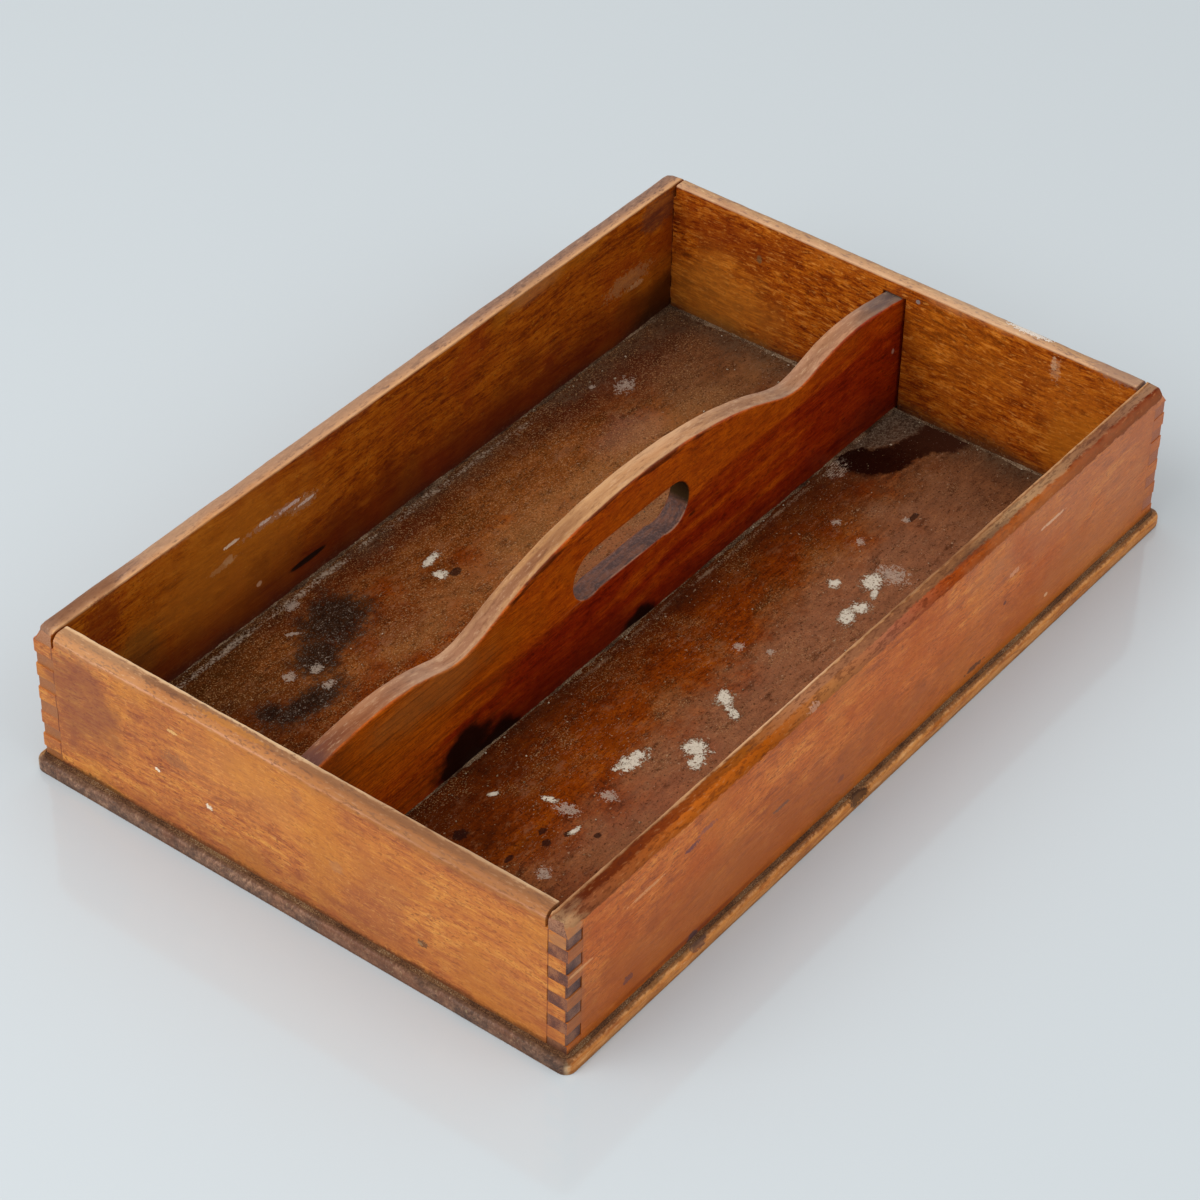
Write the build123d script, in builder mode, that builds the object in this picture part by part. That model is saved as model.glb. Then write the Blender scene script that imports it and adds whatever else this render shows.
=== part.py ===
"""Antique open knife box: four finger-jointed walls on a base board, and a serpentine
divider with a hand slot. Millimetres, +Z up, X along the length, Y across.
The origin is the middle of the base board's underside."""

from build123d import *
import os

os.makedirs("parts", exist_ok=True)

# Driving dimensions: the box over its walls
tray_length = 381.0  # over the walls, along X
tray_width = 244.0  # over the walls, along Y
wall_height = 62.0  # from the top of the base board to the rim
side_thickness = 8.4  # the two long boards
end_thickness = 8.0  # the two short boards
rim_radius = 3.0  # outer rounding of the rim
arris_radius = 0.8  # softened inner edge of the rim
corner_radius = 1.0  # softened upright corners

# Base board
base_thickness = 6.5
base_overhang = 4.0  # how far the base board stands out all round
base_nose_radius = 2.4  # upper arris of its edge
base_foot_radius = 1.4  # lower arris of its edge
base_corner_radius = 5.0  # in plan

# Finger joints
top_finger_height = 6.6  # the rim finger, part of the long boards
finger_height = 5.7  # every finger below it
finger_stand = 1.2  # how far the short boards' fingers stand out of the back board
joint_gap = 0.08  # glue line round each finger

# Divider
divider_thickness = 9.5
divider_offset = 2.0  # from the middle of the box towards the back board
divider_end_height = 54.6  # above the base board, where it meets the short boards
divider_hump_height = 58.2  # the low crest near each end
divider_knee_height = 54.8  # on the slope between that crest and the dip
divider_dip_height = 51.4  # the hollow either side of the grip
divider_flank_height = 58.1  # on the slope between the dip and the grip
divider_shoulder_height = 66.2  # where the grip starts to level out
divider_crest_height = 71.9  # the grip, the highest point of the box
divider_crest_shift = 5.0  # how far the grip lies to the right of the middle of the box
divider_hump_reach = 147.0  # along X from the grip's middle, as the reaches below
divider_knee_reach = 121.0
divider_dip_reach = 106.0
divider_flank_reach = 82.0
divider_shoulder_reach = 54.0
divider_edge_radius = 1.6  # rounding of its top edge
housing_depth = 2.6  # shallow groove in each short board that holds the divider's end
housing_gap = 0.15  # between the divider and the walls of that groove

# Hand slot through the divider
slot_bore = 22.0  # diameter of the hole bored at each end of the slot
slot_shift = 1.8  # how far the slot lies to the right of the middle of the box
slot_reach = 25.0  # from the middle of the slot to the middle of each bore
slot_height = 43.0  # middle of the bores above the base board
slot_step = 2.0  # how far the sawn lower edge lies above the lowest point of the bores
slot_edge_radius = 1.2  # softened mouth, both faces

# Nails, driven up through the base board
nail_length = 22.0
nail_shank = 1.8
nail_head = 4.8
nail_head_thickness = 0.9
nail_point_length = 2.6
nail_point_flat = 0.4
nail_recess = 0.3  # heads are punched below the underside
nail_gap = 0.05  # between a nail and the wood
side_nail_count = 5  # in each long board
side_nail_inset = 30.0  # from the end of the wall to the first nail
end_nail_count = 4  # in each short board
end_nail_inset = 45.0
divider_nail_count = 4
divider_nail_inset = 40.0  # from the wall's inner face to the first nail

# Derived places

rim_height = base_thickness + wall_height
side_center_y = (tray_width - side_thickness) / 2
end_center_x = (tray_length - end_thickness) / 2
inner_length = tray_length - 2 * end_thickness
inner_width = tray_width - 2 * side_thickness
divider_length = inner_length + 2 * (housing_depth - housing_gap)
wall_plane = Plane.XY.offset(base_thickness)
base_align = (Align.CENTER, Align.CENTER, Align.MIN)

# Heights where one finger ends and the next begins, from the rim down to the base board.
# The rim finger is the long boards' own, and the two kinds of board take turns below it.
finger_edges = [rim_height - top_finger_height]
while finger_edges[-1] - finger_height > base_thickness:
    finger_edges.append(finger_edges[-1] - finger_height)
finger_edges.append(base_thickness)
end_fingers = list(zip(finger_edges[0::2], finger_edges[1::2]))  # (upper, lower) of each


def spread(count, reach):
    """Evenly spaced places from -reach to reach."""
    return [reach * (2 * step / (count - 1) - 1) for step in range(count)]


side_nail_spots = [
    (x, y)
    for x in spread(side_nail_count, tray_length / 2 - side_nail_inset)
    for y in (-side_center_y, side_center_y)
]
end_nail_spots = [
    (x, y)
    for y in spread(end_nail_count, tray_width / 2 - end_nail_inset)
    for x in (-end_center_x, end_center_x)
]
divider_nail_spots = [
    (x, divider_offset) for x in spread(divider_nail_count, inner_length / 2 - divider_nail_inset)
]
nail_spots = side_nail_spots + end_nail_spots + divider_nail_spots


# Nails

# One nail: a flat head, a straight shank and a blunt point
with BuildPart() as nail:
    with Locations((0, 0, nail_recess)):
        Cylinder(nail_head / 2, nail_head_thickness, align=base_align)
        Cylinder(nail_shank / 2, nail_length - nail_point_length, align=base_align)
    with Locations((0, 0, nail_recess + nail_length - nail_point_length)):
        Cone(nail_shank / 2, nail_point_flat / 2, nail_point_length, align=base_align)

with BuildPart() as base_nails:
    with Locations(*nail_spots):
        add(nail.part)

# The room that the nails take up in the boards they go through
with BuildPart() as nail_room:
    with Locations(*nail_spots):
        Cylinder(nail_head / 2 + nail_gap, nail_recess + nail_head_thickness, align=base_align)
        Cylinder(nail_shank / 2 + nail_gap, nail_recess + nail_length + nail_gap, align=base_align)

# Walls

# The four walls as one ring, with the rim rounded right round as on the glued-up box
with BuildPart() as wall_ring:
    with BuildSketch(wall_plane):
        Rectangle(tray_length, tray_width)
        Rectangle(inner_length, inner_width, mode=Mode.SUBTRACT)
    extrude(amount=wall_height)
    rim_face = wall_ring.faces().sort_by(Axis.Z)[-1]
    fillet(rim_face.outer_wire().edges(), rim_radius)
    rim_face = wall_ring.faces().filter_by(Axis.Z).sort_by(Axis.Z)[-1]
    fillet(rim_face.inner_wires()[0].edges(), arris_radius)

# Long boards: the full length of the box, less the notches for the short boards' fingers
with BuildPart() as back_side:
    with BuildSketch(wall_plane):
        with Locations((0, side_center_y)):
            Rectangle(tray_length, side_thickness)
        fillet(vertices().group_by(Axis.Y)[-1], corner_radius)
    extrude(amount=wall_height)
    add(wall_ring.part, mode=Mode.INTERSECT)
    for upper, lower in end_fingers:
        with BuildSketch(Plane.XY.offset(lower - joint_gap)):
            with Locations((-end_center_x, side_center_y), (end_center_x, side_center_y)):
                Rectangle(end_thickness + 2 * joint_gap, side_thickness)
        extrude(amount=upper - lower + 2 * joint_gap, mode=Mode.SUBTRACT)
    add(nail_room.part, mode=Mode.SUBTRACT)

with BuildPart() as front_side:
    mirror(back_side.part, about=Plane.XZ)

# Short boards: between the long boards, plus the fingers that reach through them
with BuildPart() as left_end:
    with BuildSketch(wall_plane):
        with Locations((-end_center_x, 0)):
            Rectangle(end_thickness, inner_width)
    extrude(amount=wall_height)
    add(wall_ring.part, mode=Mode.INTERSECT)
    for upper, lower in end_fingers:
        with BuildSketch(Plane.XY.offset(lower)):
            with Locations((-end_center_x, finger_stand / 2)):
                Rectangle(end_thickness, tray_width + finger_stand)
            fillet(vertices().group_by(Axis.X)[0], corner_radius)
        extrude(amount=upper - lower)
    # Housing for the divider, stopped at the divider's top
    with BuildSketch(wall_plane):
        with Locations((-(inner_length + housing_depth) / 2, divider_offset)):
            Rectangle(housing_depth, divider_thickness + 2 * housing_gap)
    extrude(amount=divider_end_height + housing_gap, mode=Mode.SUBTRACT)
    add(nail_room.part, mode=Mode.SUBTRACT)

with BuildPart() as right_end:
    mirror(left_end.part, about=Plane.YZ)

# Divider

# Its back face, with the drawing's own zero on the base board
divider_face = Plane(
    (0, divider_offset + divider_thickness / 2, base_thickness), x_dir=(1, 0, 0), z_dir=(0, -1, 0)
)
half_profile = [
    (divider_shoulder_reach, divider_shoulder_height),
    (divider_flank_reach, divider_flank_height),
    (divider_dip_reach, divider_dip_height),
    (divider_knee_reach, divider_knee_height),
    (divider_hump_reach, divider_hump_height),
]
left_end_point = (-inner_length / 2, divider_end_height)
right_end_point = (inner_length / 2, divider_end_height)
left_profile = [(divider_crest_shift - reach, height) for reach, height in reversed(half_profile)]
right_profile = [(divider_crest_shift + reach, height) for reach, height in half_profile]

with BuildPart() as divider:
    with BuildSketch(divider_face):
        with BuildLine():
            Spline(
                left_end_point,
                *left_profile,
                (divider_crest_shift, divider_crest_height),
                *right_profile,
                right_end_point,
            )
            Polyline(
                left_end_point,
                (-divider_length / 2, divider_end_height),
                (-divider_length / 2, 0),
                (divider_length / 2, 0),
                (divider_length / 2, divider_end_height),
                right_end_point,
            )
        make_face()
    extrude(amount=divider_thickness)
    fillet(divider.edges().filter_by(GeomType.BSPLINE), divider_edge_radius)
    # The slot: two bored holes, sawn out between them
    with BuildSketch(divider_face):
        with Locations(
            (slot_shift - slot_reach, slot_height), (slot_shift + slot_reach, slot_height)
        ):
            Circle(slot_bore / 2)
        with Locations((slot_shift, slot_height + slot_step / 2)):
            Rectangle(2 * slot_reach, slot_bore - slot_step)
    extrude(amount=divider_thickness, mode=Mode.SUBTRACT)
    slot_edges = divider.edges(Select.LAST).group_by(Axis.Y)
    fillet(slot_edges[0] + slot_edges[-1], slot_edge_radius)
    add(nail_room.part, mode=Mode.SUBTRACT)

# Base board

with BuildPart() as base_board:
    with BuildSketch():
        RectangleRounded(
            tray_length + 2 * base_overhang, tray_width + 2 * base_overhang, base_corner_radius
        )
    extrude(amount=base_thickness)
    fillet(base_board.faces().sort_by(Axis.Z)[-1].edges(), base_nose_radius)
    fillet(base_board.faces().sort_by(Axis.Z)[0].edges(), base_foot_radius)
    add(nail_room.part, mode=Mode.SUBTRACT)

# Written out

pieces = {
    "base_board": base_board,
    "back_side": back_side,
    "front_side": front_side,
    "left_end": left_end,
    "right_end": right_end,
    "divider": divider,
    "base_nails": base_nails,
}
for name, piece in pieces.items():
    piece.part.label = name
    export_step(piece.part, f"parts/{name}.step")
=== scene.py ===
import math
import random

import bpy
from mathutils import Matrix, Vector


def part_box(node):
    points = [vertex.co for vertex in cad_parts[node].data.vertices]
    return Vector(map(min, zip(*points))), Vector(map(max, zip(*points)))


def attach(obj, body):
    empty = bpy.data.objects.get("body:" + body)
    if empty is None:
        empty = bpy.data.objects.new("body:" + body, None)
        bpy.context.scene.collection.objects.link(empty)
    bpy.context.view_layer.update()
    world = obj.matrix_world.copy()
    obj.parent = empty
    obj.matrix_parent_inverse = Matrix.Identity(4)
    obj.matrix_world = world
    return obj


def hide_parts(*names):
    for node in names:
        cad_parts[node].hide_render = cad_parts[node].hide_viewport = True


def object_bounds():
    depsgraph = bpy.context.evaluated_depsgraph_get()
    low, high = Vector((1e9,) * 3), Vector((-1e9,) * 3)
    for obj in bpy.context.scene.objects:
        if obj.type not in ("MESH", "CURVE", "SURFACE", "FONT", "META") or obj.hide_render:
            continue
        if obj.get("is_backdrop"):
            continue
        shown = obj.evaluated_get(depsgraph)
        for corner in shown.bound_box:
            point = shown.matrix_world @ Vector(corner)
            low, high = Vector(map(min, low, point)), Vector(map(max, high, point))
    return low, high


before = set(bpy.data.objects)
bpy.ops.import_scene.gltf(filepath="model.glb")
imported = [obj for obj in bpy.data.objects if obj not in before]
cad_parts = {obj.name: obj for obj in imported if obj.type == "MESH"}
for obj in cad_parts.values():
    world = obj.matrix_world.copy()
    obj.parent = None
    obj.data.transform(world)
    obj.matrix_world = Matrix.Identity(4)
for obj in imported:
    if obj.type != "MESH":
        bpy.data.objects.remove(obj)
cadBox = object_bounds()

# Places that several pieces share, read from the frame, in metres
frontLow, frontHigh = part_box("front_side")
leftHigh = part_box("left_end")[1]
baseLow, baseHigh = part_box("base_board")
dividerLow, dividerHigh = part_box("divider")
outerX, innerX = frontHigh.x, -leftHigh.x  # outer and inner faces of the short boards
outerY, innerY = -frontLow.y, -frontHigh.y  # outer and inner faces of the long boards
backProud = leftHigh.y - outerY  # the short boards' fingers stand out of the back board
rimZ, floorZ = frontHigh.z, baseHigh.z
hair = 1e-5  # near enough to be the same place
rimWearLevel = 0.6  # above a half, wear takes more away than it adds

# The finger joint: the rim finger belongs to the long boards, and below it the two kinds take turns
joint = {"topFinger": 0.0066, "finger": 0.0057}
fingerEdges = [rimZ - joint["topFinger"]]
while fingerEdges[-1] - joint["finger"] > floorZ:
    fingerEdges.append(fingerEdges[-1] - joint["finger"])
fingerBands = list(zip([rimZ] + fingerEdges, fingerEdges + [floorZ]))


# Edit mode tools

def deselectAll():
    bpy.ops.object.select_all(action="DESELECT")


def addBlock(name, low, high):
    deselectAll()
    bpy.ops.mesh.primitive_cube_add(size=1, location=(Vector(low) + Vector(high)) / 2)
    piece = bpy.context.object
    piece.name = name
    piece.scale = Vector(high) - Vector(low)
    bpy.ops.object.transform_apply(location=True, rotation=True, scale=True)
    return piece


def choose(piece, kind, wanted):
    # Selects the vertices, edges or faces that the test wants, and leaves the piece in edit mode
    bpy.ops.object.mode_set(mode="OBJECT")
    mesh = piece.data
    spots = mesh.vertices
    flags = {
        "VERT": lambda: [wanted(v.co) for v in spots],
        "EDGE": lambda: [wanted(spots[e.vertices[0]].co, spots[e.vertices[1]].co) for e in mesh.edges],
        "FACE": lambda: [wanted(f.center, f.normal) for f in mesh.polygons],
    }[kind]()
    layers = {"VERT": mesh.vertices, "EDGE": mesh.edges, "FACE": mesh.polygons}
    for layer in layers.values():
        layer.foreach_set("select", [False] * len(layer))
    layers[kind].foreach_set("select", flags)
    bpy.context.tool_settings.mesh_select_mode = [kind == each for each in layers]
    bpy.ops.object.mode_set(mode="EDIT")
    return any(flags)


def cutAt(axis, places):
    # Cuts the piece in edit mode right through at each place along the axis
    for place in places:
        point = Vector()
        point[axis] = place
        normal = Vector()
        normal[axis] = 1
        bpy.ops.mesh.select_all(action="SELECT")
        bpy.ops.mesh.bisect(plane_co=point, plane_no=normal)


def evenly(low, high, step):
    count = max(1, round((high - low) / step))
    return [low + (high - low) * k / count for k in range(1, count)]


def moveChosen(x=0.0, y=0.0, z=0.0):
    bpy.ops.transform.translate(value=(x, y, z))


def drawOut(x=0.0, y=0.0, z=0.0):
    bpy.ops.mesh.extrude_region_move(TRANSFORM_OT_translate={"value": (x, y, z)})


def bevelChosen(width, segments, profile=0.5):
    bpy.ops.mesh.bevel(offset=width, segments=segments, profile=profile, affect="EDGES")


def addModifier(piece, kind, **settings):
    # Adds a modifier and applies it
    deselectAll()
    piece.select_set(True)
    bpy.context.view_layer.objects.active = piece
    made = piece.modifiers.new(kind.lower(), kind)
    for key, value in settings.items():
        setattr(made, key, value)
    bpy.ops.object.modifier_apply(modifier=made.name)


def wearAway(piece, wanted, size, depth, level=0.5):
    # Moves the wanted vertices in and out along their normals by up to the depth
    bpy.ops.object.mode_set(mode="OBJECT")
    group = piece.vertex_groups.new(name="worn")
    group.add([v.index for v in piece.data.vertices if wanted(v.co)], 1.0, "REPLACE")
    lumps = bpy.data.textures.new(piece.name + "_lumps", "CLOUDS")
    lumps.noise_scale = size
    lumps.noise_depth = 2
    addModifier(piece, "DISPLACE", texture=lumps, strength=depth, mid_level=level,
                texture_coords="LOCAL", vertex_group="worn")
    piece.vertex_groups.clear()


def wearRim(board, wear, topOf=lambda p: rimZ, level=rimWearLevel):
    # Each row of the wear: how far down it goes, the size of its lumps and its depth
    for reach, size, depth in wear:
        wearAway(board, lambda p: p.z > topOf(p) - reach, size, depth, level)


def finishPiece(piece, node, materials, softEdge=0.00035, smooth=35):
    # Softens what is still sharp, gives the smooth shading and ties the piece to the frame
    bpy.ops.object.mode_set(mode="OBJECT")
    if softEdge:
        addModifier(piece, "BEVEL", width=softEdge, segments=2, limit_method="ANGLE",
                    angle_limit=math.radians(50), harden_normals=False)
    deselectAll()
    piece.select_set(True)
    bpy.context.view_layer.objects.active = piece
    bpy.ops.object.shade_smooth_by_angle(angle=math.radians(smooth))
    addModifier(piece, "WEIGHTED_NORMAL", keep_sharp=True, weight=60)
    for material in materials:
        piece.data.materials.append(material)
    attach(piece, "root")
    if node:
        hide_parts(node)
    print(piece.name, len(piece.data.polygons), "faces")


def paintFaces(piece, index, wanted):
    for face in piece.data.polygons:
        if wanted(face.center, face.normal):
            face.material_index = index


# Long boards: the front and the back

longBoard = {
    "step": 0.0018,  # between the sections along the board
    "rimRadius": 0.003,
    "rimProfile": 0.46,
    "arris": 0.0008,
    "fingerCuts": (0.3, 0.6),  # across each finger, as shares of its length
    "shortest": 0.001,  # no finger falls short by more
    "cornerReach": 0.0045,  # of the rubbed top corners
    "wear": [(0.0035, 0.022, 0.00045), (0.0025, 0.005, 0.00022)],
}


def makeLongBoard(name, side, shortness):
    near, far = sorted((side * innerY, side * outerY))
    board = addBlock(name, (-innerX, near, floorZ), (innerX, far, rimZ))
    bpy.ops.object.mode_set(mode="EDIT")
    cutAt(2, fingerEdges)
    cutAt(0, evenly(-innerX, innerX, longBoard["step"]))
    for end in (-1, 1):
        for upper, lower in fingerBands[0::2]:
            choose(board, "FACE", lambda c, n: n.x * end > 0.9 and lower < c.z < upper)
            short = random.uniform(*shortness[end])
            drawOut(x=end * (outerX - innerX - short))
    cutAt(0, [end * (innerX + part * (outerX - innerX)) for end in (-1, 1)
              for part in longBoard["fingerCuts"]])
    top = rimZ - hair
    choose(board, "EDGE", lambda a, b: min(a.z, b.z) > top and (
        min(a.y * side, b.y * side) > outerY - hair
        or min(abs(a.x), abs(b.x)) > outerX - longBoard["shortest"]))
    bevelChosen(longBoard["rimRadius"], 6, longBoard["rimProfile"])
    choose(board, "EDGE", lambda a, b: min(a.z, b.z) > top and max(a.y * side, b.y * side) < innerY + hair)
    bevelChosen(longBoard["arris"], 2)
    for end in (-1, 1):  # the top corners are rubbed round
        corner = Vector((end * outerX, side * outerY, rimZ))
        choose(board, "VERT", lambda p: (p - corner).length < longBoard["cornerReach"])
        bpy.ops.mesh.vertices_smooth(factor=0.5, repeat=3)
    wearRim(board, longBoard["wear"])
    return board


# Short boards: the left and right ends, housed for the divider

shortBoard = {
    "step": 0.0018,
    "rimRadius": 0.003,
    "rimProfile": 0.42,
    "arris": 0.0009,
    "seam": 0.00025,  # between the board and the long boards' inner faces
    "rimSeam": 0.0009,  # what the seam widens by at the rim
    "fingerRound": 0.0011,  # upright corners of the finger ends
    "shortest": 0.0005,  # no finger falls short by more
    "housing": 0.0026,
    "housingGap": (0.0014, 0.0005),  # in front of the divider and behind it
    "wear": [(0.0035, 0.02, 0.0005), (0.0025, 0.005, 0.00025)],
}


def makeShortBoard(name, side, proud):
    near, far = sorted((side * innerX, side * outerX))
    reach = innerY - shortBoard["seam"]
    board = addBlock(name, (near, -reach, floorZ), (far, reach, rimZ))
    bpy.ops.object.mode_set(mode="EDIT")
    cutAt(2, fingerEdges)
    cutAt(1, evenly(-reach, reach, shortBoard["step"]))
    housing = (dividerLow.y - shortBoard["housingGap"][0], dividerHigh.y + shortBoard["housingGap"][1])
    cutAt(1, housing)
    choose(board, "FACE", lambda c, n: n.x * side < -0.9 and housing[0] < c.y < housing[1]
           and c.z < fingerEdges[0])
    drawOut(x=side * shortBoard["housing"])
    for end in (-1, 1):
        for upper, lower in fingerBands[1::2]:
            choose(board, "FACE", lambda c, n: n.y * end > 0.9 and lower < c.z < upper
                   and abs(c.y) > reach - hair)
            drawOut(y=end * (outerY - reach + random.uniform(*proud[end])))
    for end in (-1, 1):
        choose(board, "FACE", lambda c, n: n.y * end > 0.9 and c.z > fingerEdges[0]
               and abs(c.y) > reach - hair)
        moveChosen(y=-end * shortBoard["rimSeam"])
    top = rimZ - hair
    atOuter = lambda a, b: min(a.x * side, b.x * side) > outerX - hair
    tip = outerY - shortBoard["shortest"]
    choose(board, "EDGE", lambda a, b: min(abs(a.y), abs(b.y)) > tip and atOuter(a, b))
    bevelChosen(shortBoard["fingerRound"], 3)
    choose(board, "EDGE", lambda a, b: min(a.z, b.z) > top and atOuter(a, b))
    bevelChosen(shortBoard["rimRadius"], 6, shortBoard["rimProfile"])
    choose(board, "EDGE", lambda a, b: min(a.z, b.z) > top and max(a.x * side, b.x * side) < innerX + hair)
    bevelChosen(shortBoard["arris"], 2)
    wearRim(board, shortBoard["wear"])
    return board


# Divider: sawn to its outline, with a hand slot

divider = {
    "step": 0.0018,
    # from the crest outwards and above the floor, alike on both sides of it
    "crest": 0.0719,
    "crestShift": 0.005,
    "profile": [(0.054, 0.0662), (0.082, 0.0581), (0.106, 0.0514), (0.121, 0.0548), (0.147, 0.0582)],
    "endHeight": 0.0546,
    "edge": 0.0009,
    "band": 0.9,  # height of the lowest line that follows the outline, as a share
    "slotBore": 0.022,
    "slotShift": 0.0018,
    "slotReach": 0.025,
    "slotHeight": 0.043,
    "slotStep": 0.001,
    "slotEdge": 0.0008,
    "sides": 48,  # of each bore
    "mouth": 1e-4,  # as near as this to the slot's outline is on it
    "wear": [(0.003, 0.025, 0.0005), (0.0022, 0.006, 0.00022)],
    "wearLevel": 0.7,
}


def naturalSpline(points):
    # The smooth line through the points, as a function of x
    xs = [x for x, _ in points]
    ys = [y for _, y in points]
    count = len(xs)
    steps = [xs[k + 1] - xs[k] for k in range(count - 1)]
    weight, bend = [0.0] * count, [0.0] * count
    for k in range(1, count - 1):
        slopes = (ys[k + 1] - ys[k]) / steps[k] - (ys[k] - ys[k - 1]) / steps[k - 1]
        pivot = 2 * (xs[k + 1] - xs[k - 1]) - steps[k - 1] * weight[k - 1]
        weight[k] = steps[k] / pivot
        bend[k] = (6 * slopes - steps[k - 1] * bend[k - 1]) / pivot
    for k in range(count - 2, 0, -1):
        bend[k] -= weight[k] * bend[k + 1]

    def height(x):
        k = max(0, min(count - 2, sum(x > place for place in xs) - 1))
        left, right, span = x - xs[k], xs[k + 1] - x, steps[k]
        curve = (bend[k] * right ** 3 + bend[k + 1] * left ** 3) / (6 * span)
        start, end = (ys[j] / span - bend[j] * span / 6 for j in (k, k + 1))
        return curve + right * start + left * end

    return height


def makeDivider():
    outline, shift, endHeight = divider["profile"], divider["crestShift"], divider["endHeight"]
    heightAt = naturalSpline([(-innerX, endHeight)] + [(shift - x, z) for x, z in reversed(outline)]
                             + [(shift, divider["crest"])] + [(shift + x, z) for x, z in outline]
                             + [(innerX, endHeight)])
    tongue = dividerHigh.x  # the end lies in its housing
    low = Vector((-tongue, dividerLow.y, floorZ))
    board = addBlock("divider_board", low, (-innerX, dividerHigh.y, floorZ + endHeight))
    bpy.ops.object.mode_set(mode="EDIT")
    cutAt(2, [floorZ + divider["band"] * endHeight])
    choose(board, "FACE", lambda c, n: n.x > 0.9)
    stations = [-innerX] + evenly(-innerX, innerX, divider["step"]) + [innerX]
    for before, after in zip(stations, stations[1:]):
        drawOut(x=after - before)
        bpy.ops.transform.resize(value=(1, 1, heightAt(after) / heightAt(before)),
                                 center_override=(after, 0, floorZ))
    drawOut(x=tongue - innerX)
    heights = lambda p: floorZ + (heightAt(p.x) if abs(p.x) < innerX else endHeight)
    choose(board, "EDGE", lambda a, b: abs(a.y - b.y) < hair and abs(a.x - b.x) > hair
           and a.z > heights(a) - hair and b.z > heights(b) - hair)
    bevelChosen(divider["edge"], 4)
    bpy.ops.object.mode_set(mode="OBJECT")
    cutSlot(board, heights)
    wearRim(board, divider["wear"], heights, divider["wearLevel"])
    below = board.data.attributes.new("below", "FLOAT", "POINT")
    below.data.foreach_set("value", [1000 * (heights(v.co) - v.co.z) for v in board.data.vertices])
    return board


def cutSlot(board, heights):
    middle = (dividerLow.y + dividerHigh.y) / 2
    z = floorZ + divider["slotHeight"]
    radius = divider["slotBore"] / 2
    reach, shift = divider["slotReach"], divider["slotShift"]
    cutters = []
    for x in (shift - reach, shift + reach):
        deselectAll()
        bpy.ops.mesh.primitive_cylinder_add(vertices=divider["sides"], radius=radius, depth=0.04,
                                            location=(x, middle, z), rotation=(math.pi / 2, 0, 0))
        cutters.append(bpy.context.object)
    cutters.append(addBlock("saw_cut", (shift - reach, middle - 0.02, z - radius + divider["slotStep"]),
                            (shift + reach, middle + 0.02, z + radius)))
    for cutter in cutters:
        addModifier(board, "BOOLEAN", operation="DIFFERENCE", object=cutter, solver="EXACT")
    for cutter in cutters:
        bpy.data.objects.remove(cutter)
    faces = (dividerLow.y, dividerHigh.y)
    onFace = lambda p: min(abs(p.y - face) for face in faces) < hair
    below = (1 + divider["band"]) / 2  # the strip that follows the outline is left as it is
    choose(board, "FACE", lambda c, n: abs(n.y) > 0.99 and onFace(c)
           and c.z - floorZ < (below - 0.02) * (heights(c) - floorZ))
    bpy.ops.mesh.dissolve_limited(angle_limit=math.radians(0.5))

    def onMouth(p):
        across, up = abs(p.x - shift) - reach, p.z - z
        gaps = [math.hypot(across, up) - radius]
        if across <= 0:
            gaps += [up - radius, up + radius - divider["slotStep"]]
        return min(abs(gap) for gap in gaps) < divider["mouth"]

    choose(board, "EDGE", lambda a, b: onFace(a) and onFace(b) and abs(a.y - b.y) < hair
           and onMouth(a) and onMouth(b))
    bevelChosen(divider["slotEdge"], 3)


# Base board: one panel with a rounded nose, standing out all round

base = {
    "corner": 0.005,
    "nose": 0.0024,
    "foot": 0.0014,
    "step": 0.0035,
    "wear": [(0.018, 0.0009), (0.005, 0.0004)],  # size of the lumps and depth
    "worn": (0.0008, 0.0006),  # worn from here out of the walls and above the foot
    "nicks": 26,
    "nickPush": (0.0003, 0.0009),
    "nickReach": 0.0028,
    "nickLow": 0.0045,  # the nicks lie above this height
    "nickInset": 0.008,  # and this far from the corners
    "fall": 0.7,  # how far a nick sinks, as a share of its push
    # a splinter gone from the front arris: middle, half width, depth, reach inwards, lowest point
    "chip": (-0.0195, 0.0040, 0.0016, 0.0025, 0.003),
    "holeSides": 24,
    "holeRadius": 0.00245,
    "holeDepth": 0.0012,
    "sideNails": (5, 0.030),  # how many in each long board, and how far from the wall's end
    "endNails": (4, 0.045),
    "dividerNails": (4, 0.040),
}


def nailPlaces():
    def spread(count, reach):
        return [reach * (2 * k / (count - 1) - 1) for k in range(count)]

    sideY, endX = (innerY + outerY) / 2, (innerX + outerX) / 2
    middle = (dividerLow.y + dividerHigh.y) / 2
    (sides, sideInset), (ends, endInset), (inner, innerInset) = (
        base[row] for row in ("sideNails", "endNails", "dividerNails"))
    places = [(x, y) for x in spread(sides, outerX - sideInset) for y in (-sideY, sideY)]
    places += [(x, y) for y in spread(ends, outerY - endInset) for x in (-endX, endX)]
    return places + [(x, middle) for x in spread(inner, innerX - innerInset)]


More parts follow.
